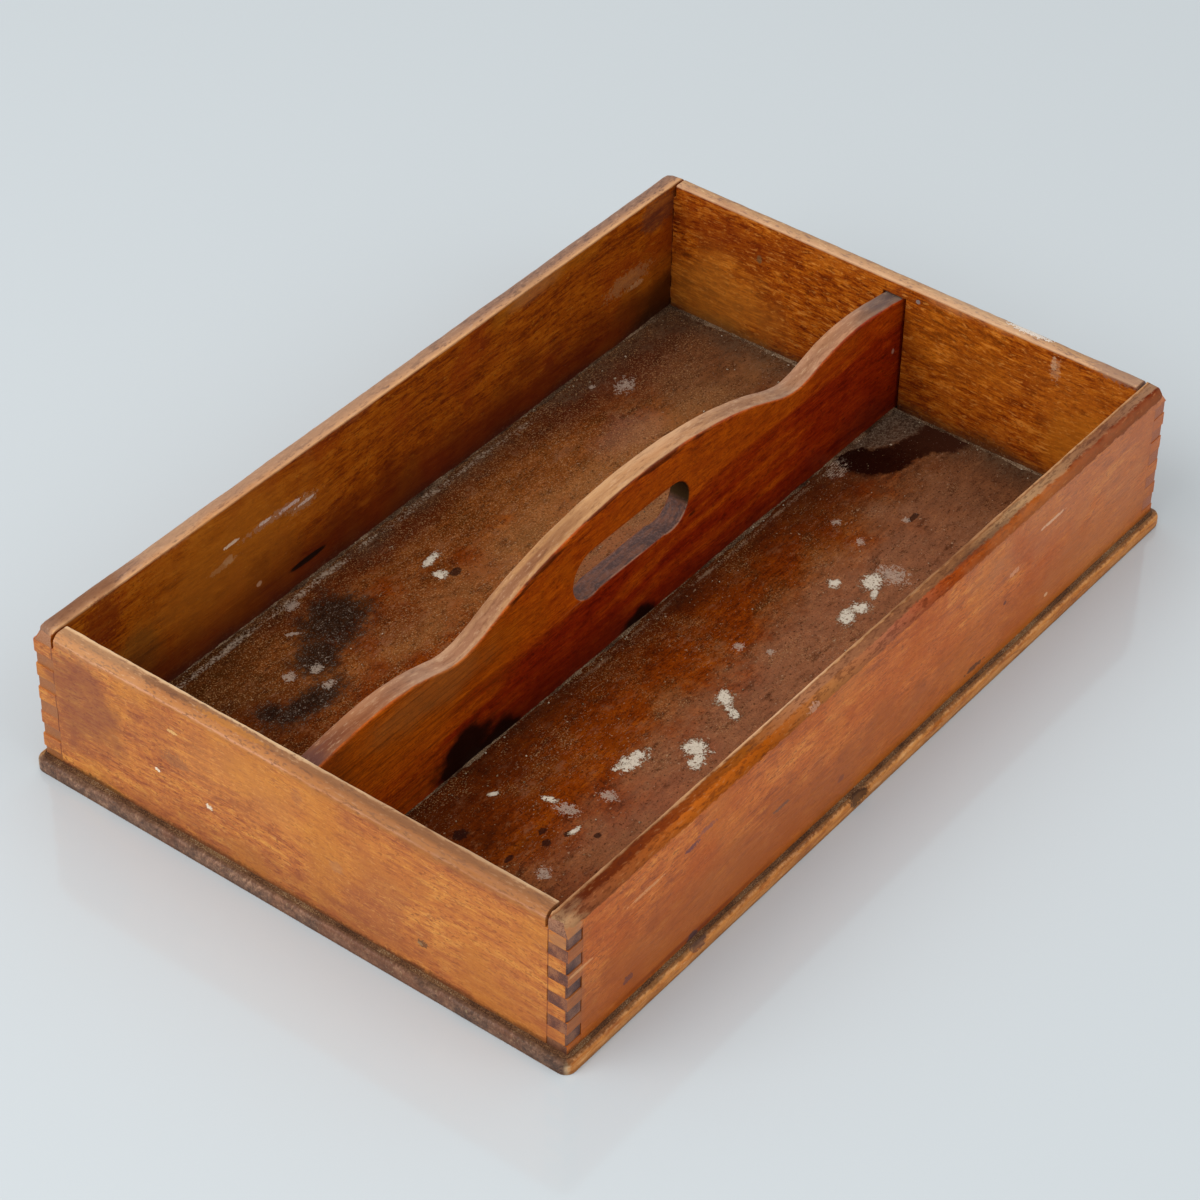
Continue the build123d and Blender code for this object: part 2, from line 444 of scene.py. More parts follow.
def makeBase():
    board = addBlock("base_panel", baseLow, baseHigh)
    halfX, halfY = baseHigh.x, baseHigh.y
    choose(board, "EDGE", lambda a, b: abs(a.z - b.z) > hair)
    bevelChosen(base["corner"], 6)
    cutAt(0, evenly(-halfX + base["corner"], halfX - base["corner"], base["step"]))
    cutAt(1, evenly(-halfY + base["corner"], halfY - base["corner"], base["step"]))

    def onEdge(p):
        dx = abs(p.x) - (halfX - base["corner"])
        dy = abs(p.y) - (halfY - base["corner"])
        return math.hypot(max(dx, 0), max(dy, 0)) > base["corner"] - hair

    for z, width, segments in ((baseHigh.z, base["nose"], 5), (baseLow.z, base["foot"], 3)):
        choose(board, "EDGE", lambda a, b: abs(a.z - z) < hair and abs(b.z - z) < hair
               and onEdge(a) and onEdge(b))
        bevelChosen(width, segments, 0.5)
    bpy.ops.object.mode_set(mode="OBJECT")
    holes = []
    for x, y in nailPlaces():
        deselectAll()
        bpy.ops.mesh.primitive_cylinder_add(vertices=base["holeSides"], radius=base["holeRadius"],
                                            depth=2 * base["holeDepth"], location=(x, y, 0))
        holes.append(bpy.context.object)
    for hole in holes:
        hole.select_set(True)
    bpy.context.view_layer.objects.active = holes[0]
    bpy.ops.object.join()
    addModifier(board, "BOOLEAN", operation="DIFFERENCE", object=holes[0], solver="EXACT")
    bpy.data.objects.remove(holes[0])

    # knocks on the upper arris, and one splinter gone from the front
    middle, half, deep, reach, low = base["chip"]
    choose(board, "VERT", lambda p: abs(p.x - middle) < half and p.y < -halfY + reach and p.z > low)
    moveChosen(y=deep, z=-deep * 0.6)
    inset = base["nickInset"]
    for k in range(base["nicks"]):
        along = random.uniform(-1, 1)
        side = random.choice((-1, 1))
        spot = (along * (halfX - inset), side * halfY) if k % 3 else (side * halfX, along * (halfY - inset))
        push = random.uniform(*base["nickPush"])
        if choose(board, "VERT", lambda p: p.z > base["nickLow"]
                  and math.hypot(p.x - spot[0], p.y - spot[1]) < base["nickReach"]):
            moveChosen(x=-push * side * (not k % 3), y=-push * side * bool(k % 3), z=-push * base["fall"])
    out, above = base["worn"]
    outside = lambda p: p.z > above and (abs(p.x) > outerX + out or abs(p.y) > outerY + out)
    for size, depth in base["wear"]:
        wearAway(board, outside, size, depth, 1.0)
    return board


# Finishes: every place and scale inside them is in millimetres

def rgb(code):
    # A colour as it is seen, such as "c5763a", as the values that a shader takes
    seen = [int(code[k:k + 2], 16) / 255 for k in (0, 2, 4)]
    return [c / 12.92 if c <= 0.04045 else ((c + 0.055) / 1.055) ** 2.4 for c in seen] + [1]


class Finish:
    def __init__(self, name):
        self.material = bpy.data.materials.new(name)
        self.material.use_nodes = True
        self.tree = self.material.node_tree
        self.shader = self.tree.nodes["Principled BSDF"]
        place = self.add("ShaderNodeTexCoord", {}, "Object")
        self.place = self.add("ShaderNodeVectorMath", {0: place, 1: [1000] * 3}, operation="MULTIPLY")
        self.x, self.y, self.z = self.add("ShaderNodeSeparateXYZ", {0: self.place}).node.outputs
        self.flow = self.place  # the place that the grain is laid over
        self.ragged = self.noise(0.7, 77, detail=3, roughness=0.65)
        self.wavy = self.noise(0.07, 79, detail=4, roughness=0.6)
        self.speckle = self.noise(2.2, 81, detail=2, roughness=0.65)

    def add(self, kind, inputs, output=0, **settings):
        node = self.tree.nodes.new(kind)
        for key, value in settings.items():
            setattr(node, key, value)
        for socket, value in inputs.items():
            if isinstance(value, bpy.types.NodeSocket):
                self.tree.links.new(value, node.inputs[socket])
            elif value is not None:
                node.inputs[socket].default_value = value
        return node.outputs[output]

    def calc(self, operation, *values):
        return self.add("ShaderNodeMath", dict(enumerate(values)), operation=operation)

    def total(self, *parts):
        # The sum of the parts: a value, a value with its weight, or a plain number
        running = 0.0
        for part in parts:
            value, weight = part if isinstance(part, tuple) else (part, 1.0)
            if isinstance(part, (int, float)):
                value, weight = 1.0, part
            running = self.calc("MULTIPLY_ADD", value, weight, running)
        return running

    def away(self, *parts):
        # How far the sum of the parts is from zero
        return self.calc("ABSOLUTE", self.total(*parts))

    def most(self, *masks):
        running = masks[0]
        for mask in masks[1:]:
            running = self.calc("MAXIMUM", running, mask)
        return running

    def joined(self, masks):
        # The same for a row of masks that are made one after another, each used before the next
        running = 0.0
        for mask in masks:
            running = self.calc("MAXIMUM", running, mask)
        return running

    def both(self, *masks):
        running = masks[0]
        for mask in masks[1:]:
            running = self.calc("MULTIPLY", running, mask)
        return running

    def other(self, mask):
        return self.calc("SUBTRACT", 1.0, mask)

    def swing(self, value):
        # A noise that goes both ways from nothing
        return self.calc("SUBTRACT", value, 0.5)

    def band(self, value, start, end):
        # Rises smoothly from 0 at start to 1 at end
        return self.add("ShaderNodeMapRange", {0: value, 1: start, 2: end}, interpolation_type="SMOOTHSTEP")

    def mix(self, share, first, second):
        if isinstance(second, str):
            second = rgb(second)
        if isinstance(first, str):
            first = rgb(first)
        return self.add("ShaderNodeMix", {0: share, 6: first, 7: second}, 2, data_type="RGBA")

    def lay(self, mask, share, color, below):
        # A colour over the one below it, where the mask is
        return self.mix(self.calc("MULTIPLY", mask, share), below, color)

    def shade(self, value, codes):
        # Colours from one end of the value's range to the other, or at places of their own
        source = self.add("ShaderNodeValToRGB", {0: value})
        ramp = source.node.color_ramp
        while len(ramp.elements) < len(codes):
            ramp.elements.new(0.5)
        for k, (element, code) in enumerate(zip(ramp.elements, codes)):
            place, code = code if isinstance(code, tuple) else (k / (len(codes) - 1), code)
            element.position = place
            element.color = rgb(code)
        return source

    def noise(self, scale, seed=0, detail=2, roughness=0.5, distortion=0.0, place=None):
        # The scale is in lumps to a millimetre, one number or one for each axis
        scale = scale if isinstance(scale, (list, tuple)) else (scale, scale, scale)
        place, shift = place or self.place, (seed, seed * 1.7, -seed)
        spread = self.add("ShaderNodeMapping", {0: place, 1: shift, 3: scale})
        return self.add("ShaderNodeTexNoise", {"Vector": spread, "Scale": 1.0, "Detail": detail,
                                               "Roughness": roughness, "Distortion": distortion})

    def patch(self, center, radii, ragged=0.0, edge=0.35, turn=0.0, noise=None):
        # 1 inside an ellipsoid with a ragged border, 0 outside
        far = 4.0  # how many radii out the gradient goes
        reach = [far * radius for radius in radii]
        local = self.add("ShaderNodeMapping", {0: self.place, 1: center, 2: (0, 0, turn), 3: reach},
                         vector_type="TEXTURE")
        inward = self.add("ShaderNodeTexGradient", {0: local}, "Fac", gradient_type="SPHERICAL")
        reach = self.total((inward, -far), far)
        if ragged:
            reach = self.total(reach, (self.swing(noise or self.ragged), ragged))
        return self.band(reach, 1.0 + edge / 2, 1.0 - edge / 2)

    def done(self, color, roughness, height, depth, **sockets):
        # The depth is what the bumps stand for, in metres
        self.tree.links.new(color, self.shader.inputs["Base Color"])
        self.tree.links.new(roughness, self.shader.inputs["Roughness"])
        bump = self.add("ShaderNodeBump", {"Height": height, "Distance": depth, "Strength": 1.0})
        self.tree.links.new(bump, self.shader.inputs["Normal"])
        for socket, value in sockets.items():
            socket = self.shader.inputs[socket.replace("_", " ")]
            if isinstance(value, bpy.types.NodeSocket):
                self.tree.links.new(value, socket)
            else:
                socket.default_value = value
        return self.material


def layGrain(s, axis, seed):
    # The masks that the colours of one board are mixed from; the grain runs along the axis and wavers
    slow, sway = [0.022] * 3, [11.0] * 3
    slow[axis], sway[axis] = 0.010, 0.0
    waver = s.swing(s.noise(slow, seed + 3, detail=1))
    s.flow = s.add("ShaderNodeVectorMath", {0: waver, 1: sway, 2: s.place}, operation="MULTIPLY_ADD")

    def fibres(along, across, turn, **more):
        scale = [across, across, across]
        scale[axis] = along
        return s.noise(scale, seed + turn, place=s.flow, **more)

    return {
        "bands": fibres(0.009, 0.12, 0, detail=2, distortion=0.5),
        "streaks": fibres(0.045, 0.55, 11, detail=3, roughness=0.65, distortion=0.3),
        "threads": fibres(0.13, 1.3, 23, detail=2, roughness=0.65, distortion=0.2),
        "mottle": fibres(0.14, 0.30, 31, detail=4, roughness=0.62, distortion=0.4),
        "flecks": fibres(0.20, 0.95, 37, detail=2, distortion=0.5),
        "sparks": fibres(0.26, 1.0, 53, detail=2, distortion=0.5),
        "pores": fibres(0.50, 1.3, 61, detail=1, distortion=0.5),
        "clouds": s.noise(0.034, seed + 5, detail=3, roughness=0.5),
        "blush": s.noise(0.026, seed + 27, detail=2, roughness=0.5),
        "grit": s.noise(0.85, seed + 9, detail=2, roughness=0.7),
    }


def colorGrain(s, grain, look):
    # One palette over the grain, then the colours over it: mask, start, end, share, colour
    tone = s.total(*[(grain[kind], share) for kind, share in look["weights"].items()])
    spread = look["spread"]
    tone = s.add("ShaderNodeMapRange", {0: tone, 1: 0.5 - spread, 2: 0.5 + spread})
    color = s.shade(tone, look["tones"])
    for kind, start, end, share, code in look["over"]:
        color = s.lay(s.band(grain[kind], start, end), share, code, color)
    color = s.lay(s.band(grain["grit"], 0.55, 0.70), 0.30, look["tones"][0], color)
    return s.lay(s.band(grain["grit"], 0.44, 0.30), 0.30, look["tones"][-1], color)


def onPlane(axis, place, marks, thick=3):
    # Marks on a plane square to the axis: two coordinates and two radii come first in each
    for first, second, wide, tall, *rest in marks:
        center, radii = [first, second], [wide, tall]
        center.insert(axis, place)
        radii.insert(axis, thick)
        yield center, radii, *rest


def addMarks(s, color, marks):
    # Place, radii, share, colour, how ragged; the wide ones fade out, the ragged ones crumble
    for center, radii, share, code, ragged in marks:
        wide = max(radii) > 16
        mask = s.patch(center, radii, ragged, 1.0 if wide else 0.35, noise=s.wavy if wide else None)
        if ragged > 2 and not wide:
            mask = s.band(s.total(mask, (s.swing(s.speckle), 2.4)), 0.6, 0.8)
        color = s.lay(mask, share, code, color)
    return color


# Walls: one palette outside and one inside, a worn rim with a painted highlight on the left wall's
# rounding, and dirt and painted shade where they meet the base. The rim marks have a place and radii
# of their own, the others lie on the one flat face that has marks

wallLooks = {
    "left_wall": {
        "axis": 1, "side": -1, "seed": 3, "gloss": 0.02,
        "outside": {
            "weights": {"bands": 0.18, "streaks": 0.3, "threads": 0.24, "mottle": 0.28}, "spread": 0.088,
            "tones": ["954d28", "b0612f", "c17134", "cc7f38", "dc9545"],
            "over": [("pores", 0.6, 0.67, 0.55, "672f17"), ("clouds", 0.5, 0.66, 0.62, "a55e34"),
                     ("blush", 0.52, 0.66, 0.5, "cc812e"), ("flecks", 0.57, 0.66, 0.5, "8e482e"),
                     ("sparks", 0.6, 0.68, 0.45, "dc9a52"), ("threads", 0.6, 0.68, 0.35, "96502c")]},
        "inside": {
            "weights": {"bands": 0.2, "streaks": 0.35, "threads": 0.15, "mottle": 0.3}, "spread": 0.11,
            "tones": ["5a2002", "7a3404", "8c4007", "a0500d"],
            "over": [("pores", 0.6, 0.67, 0.5, "3d1101"), ("clouds", 0.5, 0.66, 0.5, "6a2402"),
                     ("flecks", 0.6, 0.68, 0.4, "4c1902")]},
        # across the rim; the pale stop at 0.85 is a painted highlight along the lower border of the
        # rounding
        "rim": [(0.0, "d4b48c"), (0.11, "c49c74"), (0.17, "90623e"), (0.34, "8c5c38"), (0.52, "a66838"),
                (0.7, "b07038"), (0.79, "b37747"), (0.85, "ca8e6a"), (0.9, "b97a49"), (0.97, "b57034")],
        "rimDirt": "6a4632", "rimLight": "c0926a", "rimStart": 0.57, "rimFade": (4.6, 2.2),
        "footReach": (3.4, 0.8),
        "rimMarks": [((-187, 98, 68), (7, 26, 5), 0.2, "e0b080", 1.6),
                     ((-186.5, 30, 68.5), (1.5, 16, 2), 0.5, "c07828", 2),
                     ((-186, 62, 68.5), (1.3, 12, 2), 0.35, "5c3420", 2),
                     ((-186, -52, 68.5), (1.3, 30, 2), 0.4, "603a24", 2),
                     ((-187, -66, 68), (7, 62, 5), 0.5, "845430", 1.6)],
        "face": -190.5,
        "faceMarks": [(-95, 34, 34, 30, 0.22, "c06a24", 1.6), (63.8, 31.4, 1.4, 1, 0.95, "f0dfc4", 2.2),
                      (39.5, 27.5, 1.5, 1.3, 0.95, "eedcc0", 2.2),
                      (-59, 20.8, 2.8, 1.6, 0.9, "4c3a28", 2.2),
                      (-57.6, 20.2, 1.1, 0.7, 0.6, "a89468", 2.2), (54.7, 41, 6.5, 3.2, 0.5, "84563c", 2.8),
                      (-20.4, 34, 3, 2.6, 0.22, "a07c64", 1.4), (97, 44, 19, 20, 0.65, "84482e", 2.8),
                      (20, 12, 60, 8, 0.4, "8c4c28", 2.2), (-30, 48, 36, 16, 0.3, "c4742c", 2.6),
                      (55, 54.4, 2.8, 0.9, 0.7, "e8bc78", 2.4), (-3, 57, 2.4, 4, 0.3, "96583e", 1.3),
                      (-85, 16, 34, 14, 0.3, "a0582a", 2.2), (25, 50, 30, 14, 0.3, "d88e46", 2.2),
                      (-118, 59, 4, 3, 0.5, "9c7050", 1)]},
    "right_wall": {
        "axis": 1, "side": 1, "seed": 17, "gloss": 0.0,
        "outside": {
            "weights": {"bands": 0.24, "streaks": 0.4, "threads": 0.2, "mottle": 0.16}, "spread": 0.105,
            "tones": ["844321", "9c5528", "b0642d", "c07334", "cf8841"],
            "over": [("pores", 0.6, 0.67, 0.55, "5b2811"), ("clouds", 0.5, 0.66, 0.5, "96532f"),
                     ("flecks", 0.6, 0.68, 0.4, "7e4226"), ("sparks", 0.63, 0.7, 0.35, "d4934d")]},
        "inside": {
            "weights": {"bands": 0.12, "streaks": 0.24, "threads": 0.34, "mottle": 0.3}, "spread": 0.095,
            "tones": ["682401", "8a3903", "a64f07", "bd6510", "d57f2b"],
            "over": [("pores", 0.6, 0.67, 0.5, "471300"), ("clouds", 0.5, 0.64, 0.5, "7a2b01"),
                     ("blush", 0.52, 0.66, 0.4, "bf691a"), ("flecks", 0.58, 0.67, 0.55, "5b1f01"),
                     ("sparks", 0.59, 0.68, 0.55, "dd8f3e")]},
        "rim": [(0.0, "d2a57d"), (0.12, "c2926b"), (0.34, "b0845c"), (0.55, "9d7655"), (0.66, "7b6460"),
                (0.8, "7b6460"), (0.92, "926b4e")],
        "rimDirt": "806050", "rimLight": "d8b488", "rimStart": 0.57, "footReach": (2.6, 0.5),
        "footShade": 0.25,
        "rimMarks": [((187, -104, 68.5), (6, 14, 3), 0.6, "8c6a58", 1.6),
                     ((187, -34, 68.5), (6, 22, 3), 0.15, "dcc0a0", 1.6),
                     ((187.5, -60, 68), (2, 10, 2), 0.6, "e4e0d8", 2.4)],
        "face": 182.5,
        "faceMarks": [(-76, 60, 2.4, 5.5, 0.3, "d0a880", 2.8), (-75, 62, 1.2, 3.5, 0.35, "dcbc98", 2.4),
                      (88, 24, 28, 18, 0.35, "c8802c", 1.8), (-95, 24, 22, 18, 0.35, "c8781c", 1.8),
                      (92, 58, 24, 12, 0.3, "7a2c08", 2.2), (-30, 50, 30, 18, 0.15, "cc7a1c", 1.8),
                      (-10, 63.4, 1.1, 1, 0.7, "8e8a86", 1), (68.5, 50, 1.3, 2, 0.5, "6a6040", 1.2)]},
    "front_wall": {
        "axis": 0, "side": -1, "seed": 29, "gloss": -0.06,
        "outside": {
            "weights": {"bands": 0.2, "streaks": 0.22, "threads": 0.26, "mottle": 0.32}, "spread": 0.098,
            "tones": ["94420c", "b0550f", "c26016", "cd6f21", "da8434"],
            "over": [("pores", 0.6, 0.67, 0.55, "6b2903"), ("clouds", 0.48, 0.66, 0.55, "b14e07"),
                     ("blush", 0.52, 0.68, 0.35, "cf7a2a"), ("flecks", 0.6, 0.69, 0.42, "8a3d0b"),
                     ("sparks", 0.64, 0.71, 0.25, "e09a4f")]},
        "inside": {
            "weights": {"bands": 0.2, "streaks": 0.3, "threads": 0.15, "mottle": 0.35}, "spread": 0.11,
            "tones": ["602602", "843e04", "9b5009", "af6411"],
            "over": [("pores", 0.6, 0.67, 0.5, "411501"), ("clouds", 0.5, 0.66, 0.5, "6f2a02"),
                     ("flecks", 0.6, 0.68, 0.4, "501e02")]},
        "rim": [(0.0, "ba8b63"), (0.07, "ac7d55"), (0.13, "774624"), (0.5, "653419"), (0.86, "8a4608"),
                (0.95, "b86a30"), (1.0, "ac6632")],
        # along the flat of the rim, and along its rounding
        "flatRun": [(0.0, "a07a58"), (0.04, "582004"), (0.15, "7c340c"), (0.28, "84440c"), (0.36, "9a6442"),
                    (0.5, "784a30"), (0.64, "7a4e2e"), (0.74, "a47c56"), (0.89, "7b4c32"), (1.0, "946e52")],
        "rimRun": [(0.0, "a47e59"), (0.03, "82482a"), (0.18, "ab5615"), (0.3, "9a4a08"), (0.4, "a06436"),
                   (0.5, "9a593e"), (0.6, "923c0c"), (0.76, "964705"), (0.86, "6e2404"), (1.0, "651f02")],
        "rimDirt": "401a10", "rimLight": "b47848", "rimStart": 0.53, "rimWear": 0.6, "rimRagged": 4.5,
        "rimSheen": 0.02, "footReach": (2.0, 0.3),
        "rimMarks": [((-155, -116.5, 68.5), (38, 3.5, 2), 0.4, "4c1c08", 1.6),
                     ((-60, -113.8, 68.5), (28, 0.9, 1.4), 0.5, "e0b48c", 1.6),
                     ((62, -114, 68.5), (24, 1.6, 1.4), 0.35, "7a4a2c", 1.6),
                     ((66, -118.5, 68.2), (24, 1.3, 1), 0.45, "3c2420", 2),
                     ((30, -113.8, 68.5), (40, 0.9, 1.4), 0.5, "60381e", 1.6),
                     ((-49, -120, 66), (4.6, 2.6, 1.8), 0.4, "d8a890", 2.2)],
        "face": -122,
        "faceMarks": [(60, 10, 280, 20, 0.5, "a8540c", 1.6), (140, 60, 75, 22, 0.35, "b4744c", 2),
                      (60, 8.2, 130, 2.2, 0.5, "a4560c", 0.6), (-100, 22, 110, 18, 0.45, "94480e", 1.6),
                      (-187, 36, 5, 30, 0.5, "8c5c3a", 1), (-188, 64.5, 5, 4, 0.6, "b08058", 1.2),
                      (-115, 8.6, 44, 1.2, 0.6, "6c200c", 0.6), (-121, 52.5, 4.2, 1.1, 0.8, "5a3440", 2.3),
                      (-113, 55.4, 5, 1.3, 0.6, "744448", 2.6), (-67, 32, 5.5, 0.9, 0.75, "64483c", 2.4),
                      (-156, 16.6, 3, 2, 0.7, "5a3434", 2.3), (-118.6, 7.6, 3.2, 2.2, 0.8, "3a3034", 1),
                      (79, 31, 1.2, 1, 0.8, "54241c", 0.8), (60.6, 11.6, 6.5, 1.3, 0.85, "4c2c1c", 2.3),
                      (109, 52.6, 9.5, 0.8, 0.6, "ecbe98", 2.6), (84.4, 43, 3.6, 1.2, 0.5, "e2a680", 2.4),
                      (110.6, 14.7, 1.3, 0.9, 0.6, "f0c498", 0.8),
                      (-147, 51.6, 9, 0.8, 0.55, "dca06c", 2.6), (-184, 42.9, 7, 0.7, 0.5, "e4ac74", 1.2),
                      (150, 24, 46, 18, 0.3, "b4703c", 1.6), (-28.6, 17.9, 2, 1.4, 0.5, "64342c", 1.2)]},
    "back_wall": {
        "axis": 0, "side": 1, "seed": 41, "gloss": 0.0,
        "outside": {
            "weights": {"bands": 0.2, "streaks": 0.3, "threads": 0.2, "mottle": 0.3}, "spread": 0.105,
            "tones": ["844118", "9c511f", "ae6026", "be6f30", "ca823f"],
            "over": [("pores", 0.6, 0.67, 0.55, "5b270b"), ("clouds", 0.5, 0.66, 0.5, "944b26"),
                     ("flecks", 0.62, 0.69, 0.4, "783c21"), ("sparks", 0.65, 0.71, 0.35, "d0914f")]},
        "inside": {
            "weights": {"bands": 0.24, "streaks": 0.24, "threads": 0.28, "mottle": 0.24}, "spread": 0.085,
            "tones": ["672401", "8a3e01", "9f4e02", "af6010"],
            "over": [("pores", 0.6, 0.67, 0.5, "461300"), ("clouds", 0.5, 0.66, 0.5, "8a3201"),
                     ("blush", 0.55, 0.7, 0.45, "a76613"), ("flecks", 0.6, 0.69, 0.45, "5e1c01"),
                     ("sparks", 0.65, 0.72, 0.4, "c08229")]},
        "rim": [(0.0, "d39f6c"), (0.1, "ba875e"), (0.3, "8e674f"), (0.52, "86634f"), (0.66, "966b4f"),
                (0.84, "985f34"), (0.94, "a26939")],
        "rimDirt": "64483c", "rimLight": "b08c74", "rimStart": 0.54, "footReach": (2.6, 0.5),
        "rimMarks": [((-50, 119.5, 69), (84, 4.5, 4), 0.4, "c09068", 1.6),
                     ((-168, 119, 68.5), (18, 6, 3), 0.7, "744420", 1.6),
                     ((-122, 119, 68.5), (16, 6, 3), 0.15, "dcac7c", 1.6)],
        "face": 113.6,
        "faceMarks": [(-95, 42, 46, 27, 0.55, "b0681b", 1.6), (-150, 27, 17, 13, 0.35, "54441c", 2),
                      (-164, 57, 9, 11, 0.6, "6c2004", 1.8), (0, 8, 190, 22, 0.5, "541402", 2),
                      (57, 58, 3.4, 3, 0.5, "681c04", 1.4), (45.6, 33.5, 3.4, 2.2, 0.5, "681c04", 1.4),
                      (98.7, 23, 3.2, 2.6, 0.5, "5c1804", 1.4), (90, 66, 17, 4, 0.3, "b08050", 2),
                      (-71.5, 48, 15.8, 1.9, 0.4, "b08c70", 2.8), (-54, 44.5, 8.5, 3.2, 0.35, "b0906c", 3),
                      (-95, 49.9, 4.2, 0.8, 0.85, "e4ccb0", 1.6), (-76, 48.9, 4.4, 0.8, 0.8, "dcc8b8", 2.4),
                      (-62, 47.8, 7, 0.9, 0.8, "d4bcb0", 2.8), (-53, 44.6, 5, 0.8, 0.8, "d8c4b4", 2.4),
                      (-101, 42.2, 8, 1.4, 0.4, "b88c5c", 2.6), (-97, 43.4, 2.6, 2, 0.4, "c49c70", 1.8),
                      (-53, 16, 10.5, 1.5, 0.97, "0c0402", 0.3), (-81, 21.4, 1.5, 1.2, 0.7, "c49a78", 1),
                      (152, 36, 15, 4.5, 0.5, "a4784c", 3.2), (158, 31, 5, 1.4, 0.5, "bc9468", 2.4),
                      (175, 12, 18, 14, 0.6, "241402", 1.2), (172, 60, 12, 8, 0.4, "54382c", 1.6)]},
}
# what a wall has unless its own looks say otherwise
plainWall = {"rimFade": (3.7, 3.1), "rimRagged": 1.6, "rimWear": 1.0, "footShade": 0.6}


def wallFinish(name):
    look = {**plainWall, **wallLooks[name]}
    axis = look["axis"]
    s = Finish(name + "_varnish")
    across, inner, run, end = (s.x, innerX, s.y, innerY) if axis == 1 else (s.y, innerY, s.x, innerX)
    through = s.total((across, look["side"]), -inner * 1000)  # from the inner face outwards
    depth = s.total((s.z, -1.0), rimZ * 1000)  # below the rim
    height = s.total(s.z, -floorZ * 1000)  # above the base board
    grain = layGrain(s, axis, look["seed"])
    outside = s.band(through, 3.8, 4.4)
    inside = colorGrain(s, grain, look["inside"])
    # painted shade: the inside of the wall darker towards its foot
    shade = s.band(s.total(height, (s.swing(grain["clouds"]), 60.0)), 30.0, 6.0)
    inside = s.lay(shade, look["footShade"], "5c1a02", inside)
    color = s.mix(outside, inside, colorGrain(s, grain, look["outside"]))

    # dirt along the foot: a thin ragged line outside, and a wide dark shade inside
    footOut = s.total(height, (s.swing(s.ragged), 4.0), (s.swing(grain["clouds"]), 5.0))
    footOut = s.band(footOut, *look["footReach"])
    footIn = s.band(s.total(height, (s.swing(grain["clouds"]), 14.0), (s.swing(s.ragged), 3.0)), 8.0, -1.0)
    dirt = s.mix(s.band(grain["grit"], 0.56, 0.70), "2e1a0e", "70563c")
    color = s.lay(s.mix(outside, footIn, footOut), 0.8, dirt, color)
    # the line scribed for the joint
    line = s.total(s.calc("ABSOLUTE", run), -end * 1000, (s.swing(grain["clouds"]), 0.8))
    line = s.band(s.calc("ABSOLUTE", line), 0.42, 0.12)
    color = s.lay(line, 0.7 if axis else 0.3, "5c2420", color)

    # the worn rim, from its inner arris over the rounding, with dirt in patches along it; the left wall's
    # colours across it hold a painted highlight on the rounding
    slow = [0.55, 0.55, 0.55]
    slow[axis] = 0.16
    smear = s.noise(slow, look["seed"] + 71, detail=4, roughness=0.7)
    around = s.total(through, depth, (s.swing(smear), 2.6), (s.swing(grain["clouds"]), 1.5))
    border = s.total(depth, (s.swing(smear), look["rimRagged"]), (s.swing(s.ragged), 1.6))
    rimMask = s.both(s.band(border, *look["rimFade"]),
                     s.most(s.band(through, 0.2, 0.7), s.band(depth, 1.1, 0.5)))
    specks = s.noise([2 * k for k in slow], look["seed"] + 73, detail=2, roughness=0.6)
    rimColor = s.shade(s.calc("DIVIDE", around, 11.4), look["rim"])  # the rim measures 11.4 across
    if "rimRun" in look:
        along = s.total((s.x, 1 / 381), 0.5, (s.swing(smear), 0.06))  # over the box's length
        rimColor = s.mix(s.band(around, 1.2, 2.0), rimColor, s.shade(along, look["flatRun"]))
        around = s.total(around, (s.swing(s.ragged), 2.6), (s.swing(smear), 2.0))
        rounding = s.band(around, 4.7, 5.7)
        rimColor = s.mix(rounding, rimColor, s.shade(along, look["rimRun"]))
    start, wear = look["rimStart"], look["rimWear"]
    rimDirt = s.both(s.band(smear, start, start + 0.08), s.band(around, 1.2, 2.2))
    rimColor = s.lay(rimDirt, 0.7 * wear, look["rimDirt"], rimColor)
    rimDirt = s.both(s.band(specks, 0.56, 0.66), s.band(around, 0.6, 1.4))
    rimColor = s.lay(rimDirt, 0.65 * wear, look["rimDirt"], rimColor)
    rimLight = s.band(s.total((specks, 0.6), (smear, 0.4)), 0.44, 0.34)
    rimColor = s.lay(rimLight, 0.6 * wear, look["rimLight"], rimColor)
    color = s.mix(rimMask, color, rimColor)
    color = addMarks(s, color, look["rimMarks"])
    color = addMarks(s, color, onPlane(1 - axis, look["face"], look["faceMarks"]))

    roughness = s.total((grain["streaks"], 0.2), (grain["clouds"], 0.2), (outside, look["gloss"]),
                        (rimMask, 0.05), (footOut, 0.3), 0.26)
    relief = s.total((grain["streaks"], 0.4), (grain["threads"], 0.35), (grain["grit"], 0.15),
                     (smear, 0.25), (grain["flecks"], 0.2))
    sheen = s.total((rimMask, look["rimSheen"] - 0.2), 0.2) if "rimSheen" in look else 0.2
    return s.done(color, roughness, relief, 0.00018, Specular_IOR_Level=sheen)


endGrainLooks = {
    "long": ["54291a", "6c3a25", "844d31", "9c643f"],
    "short": ["40211d", "5a352a", "6f4738", "875a42"],
}


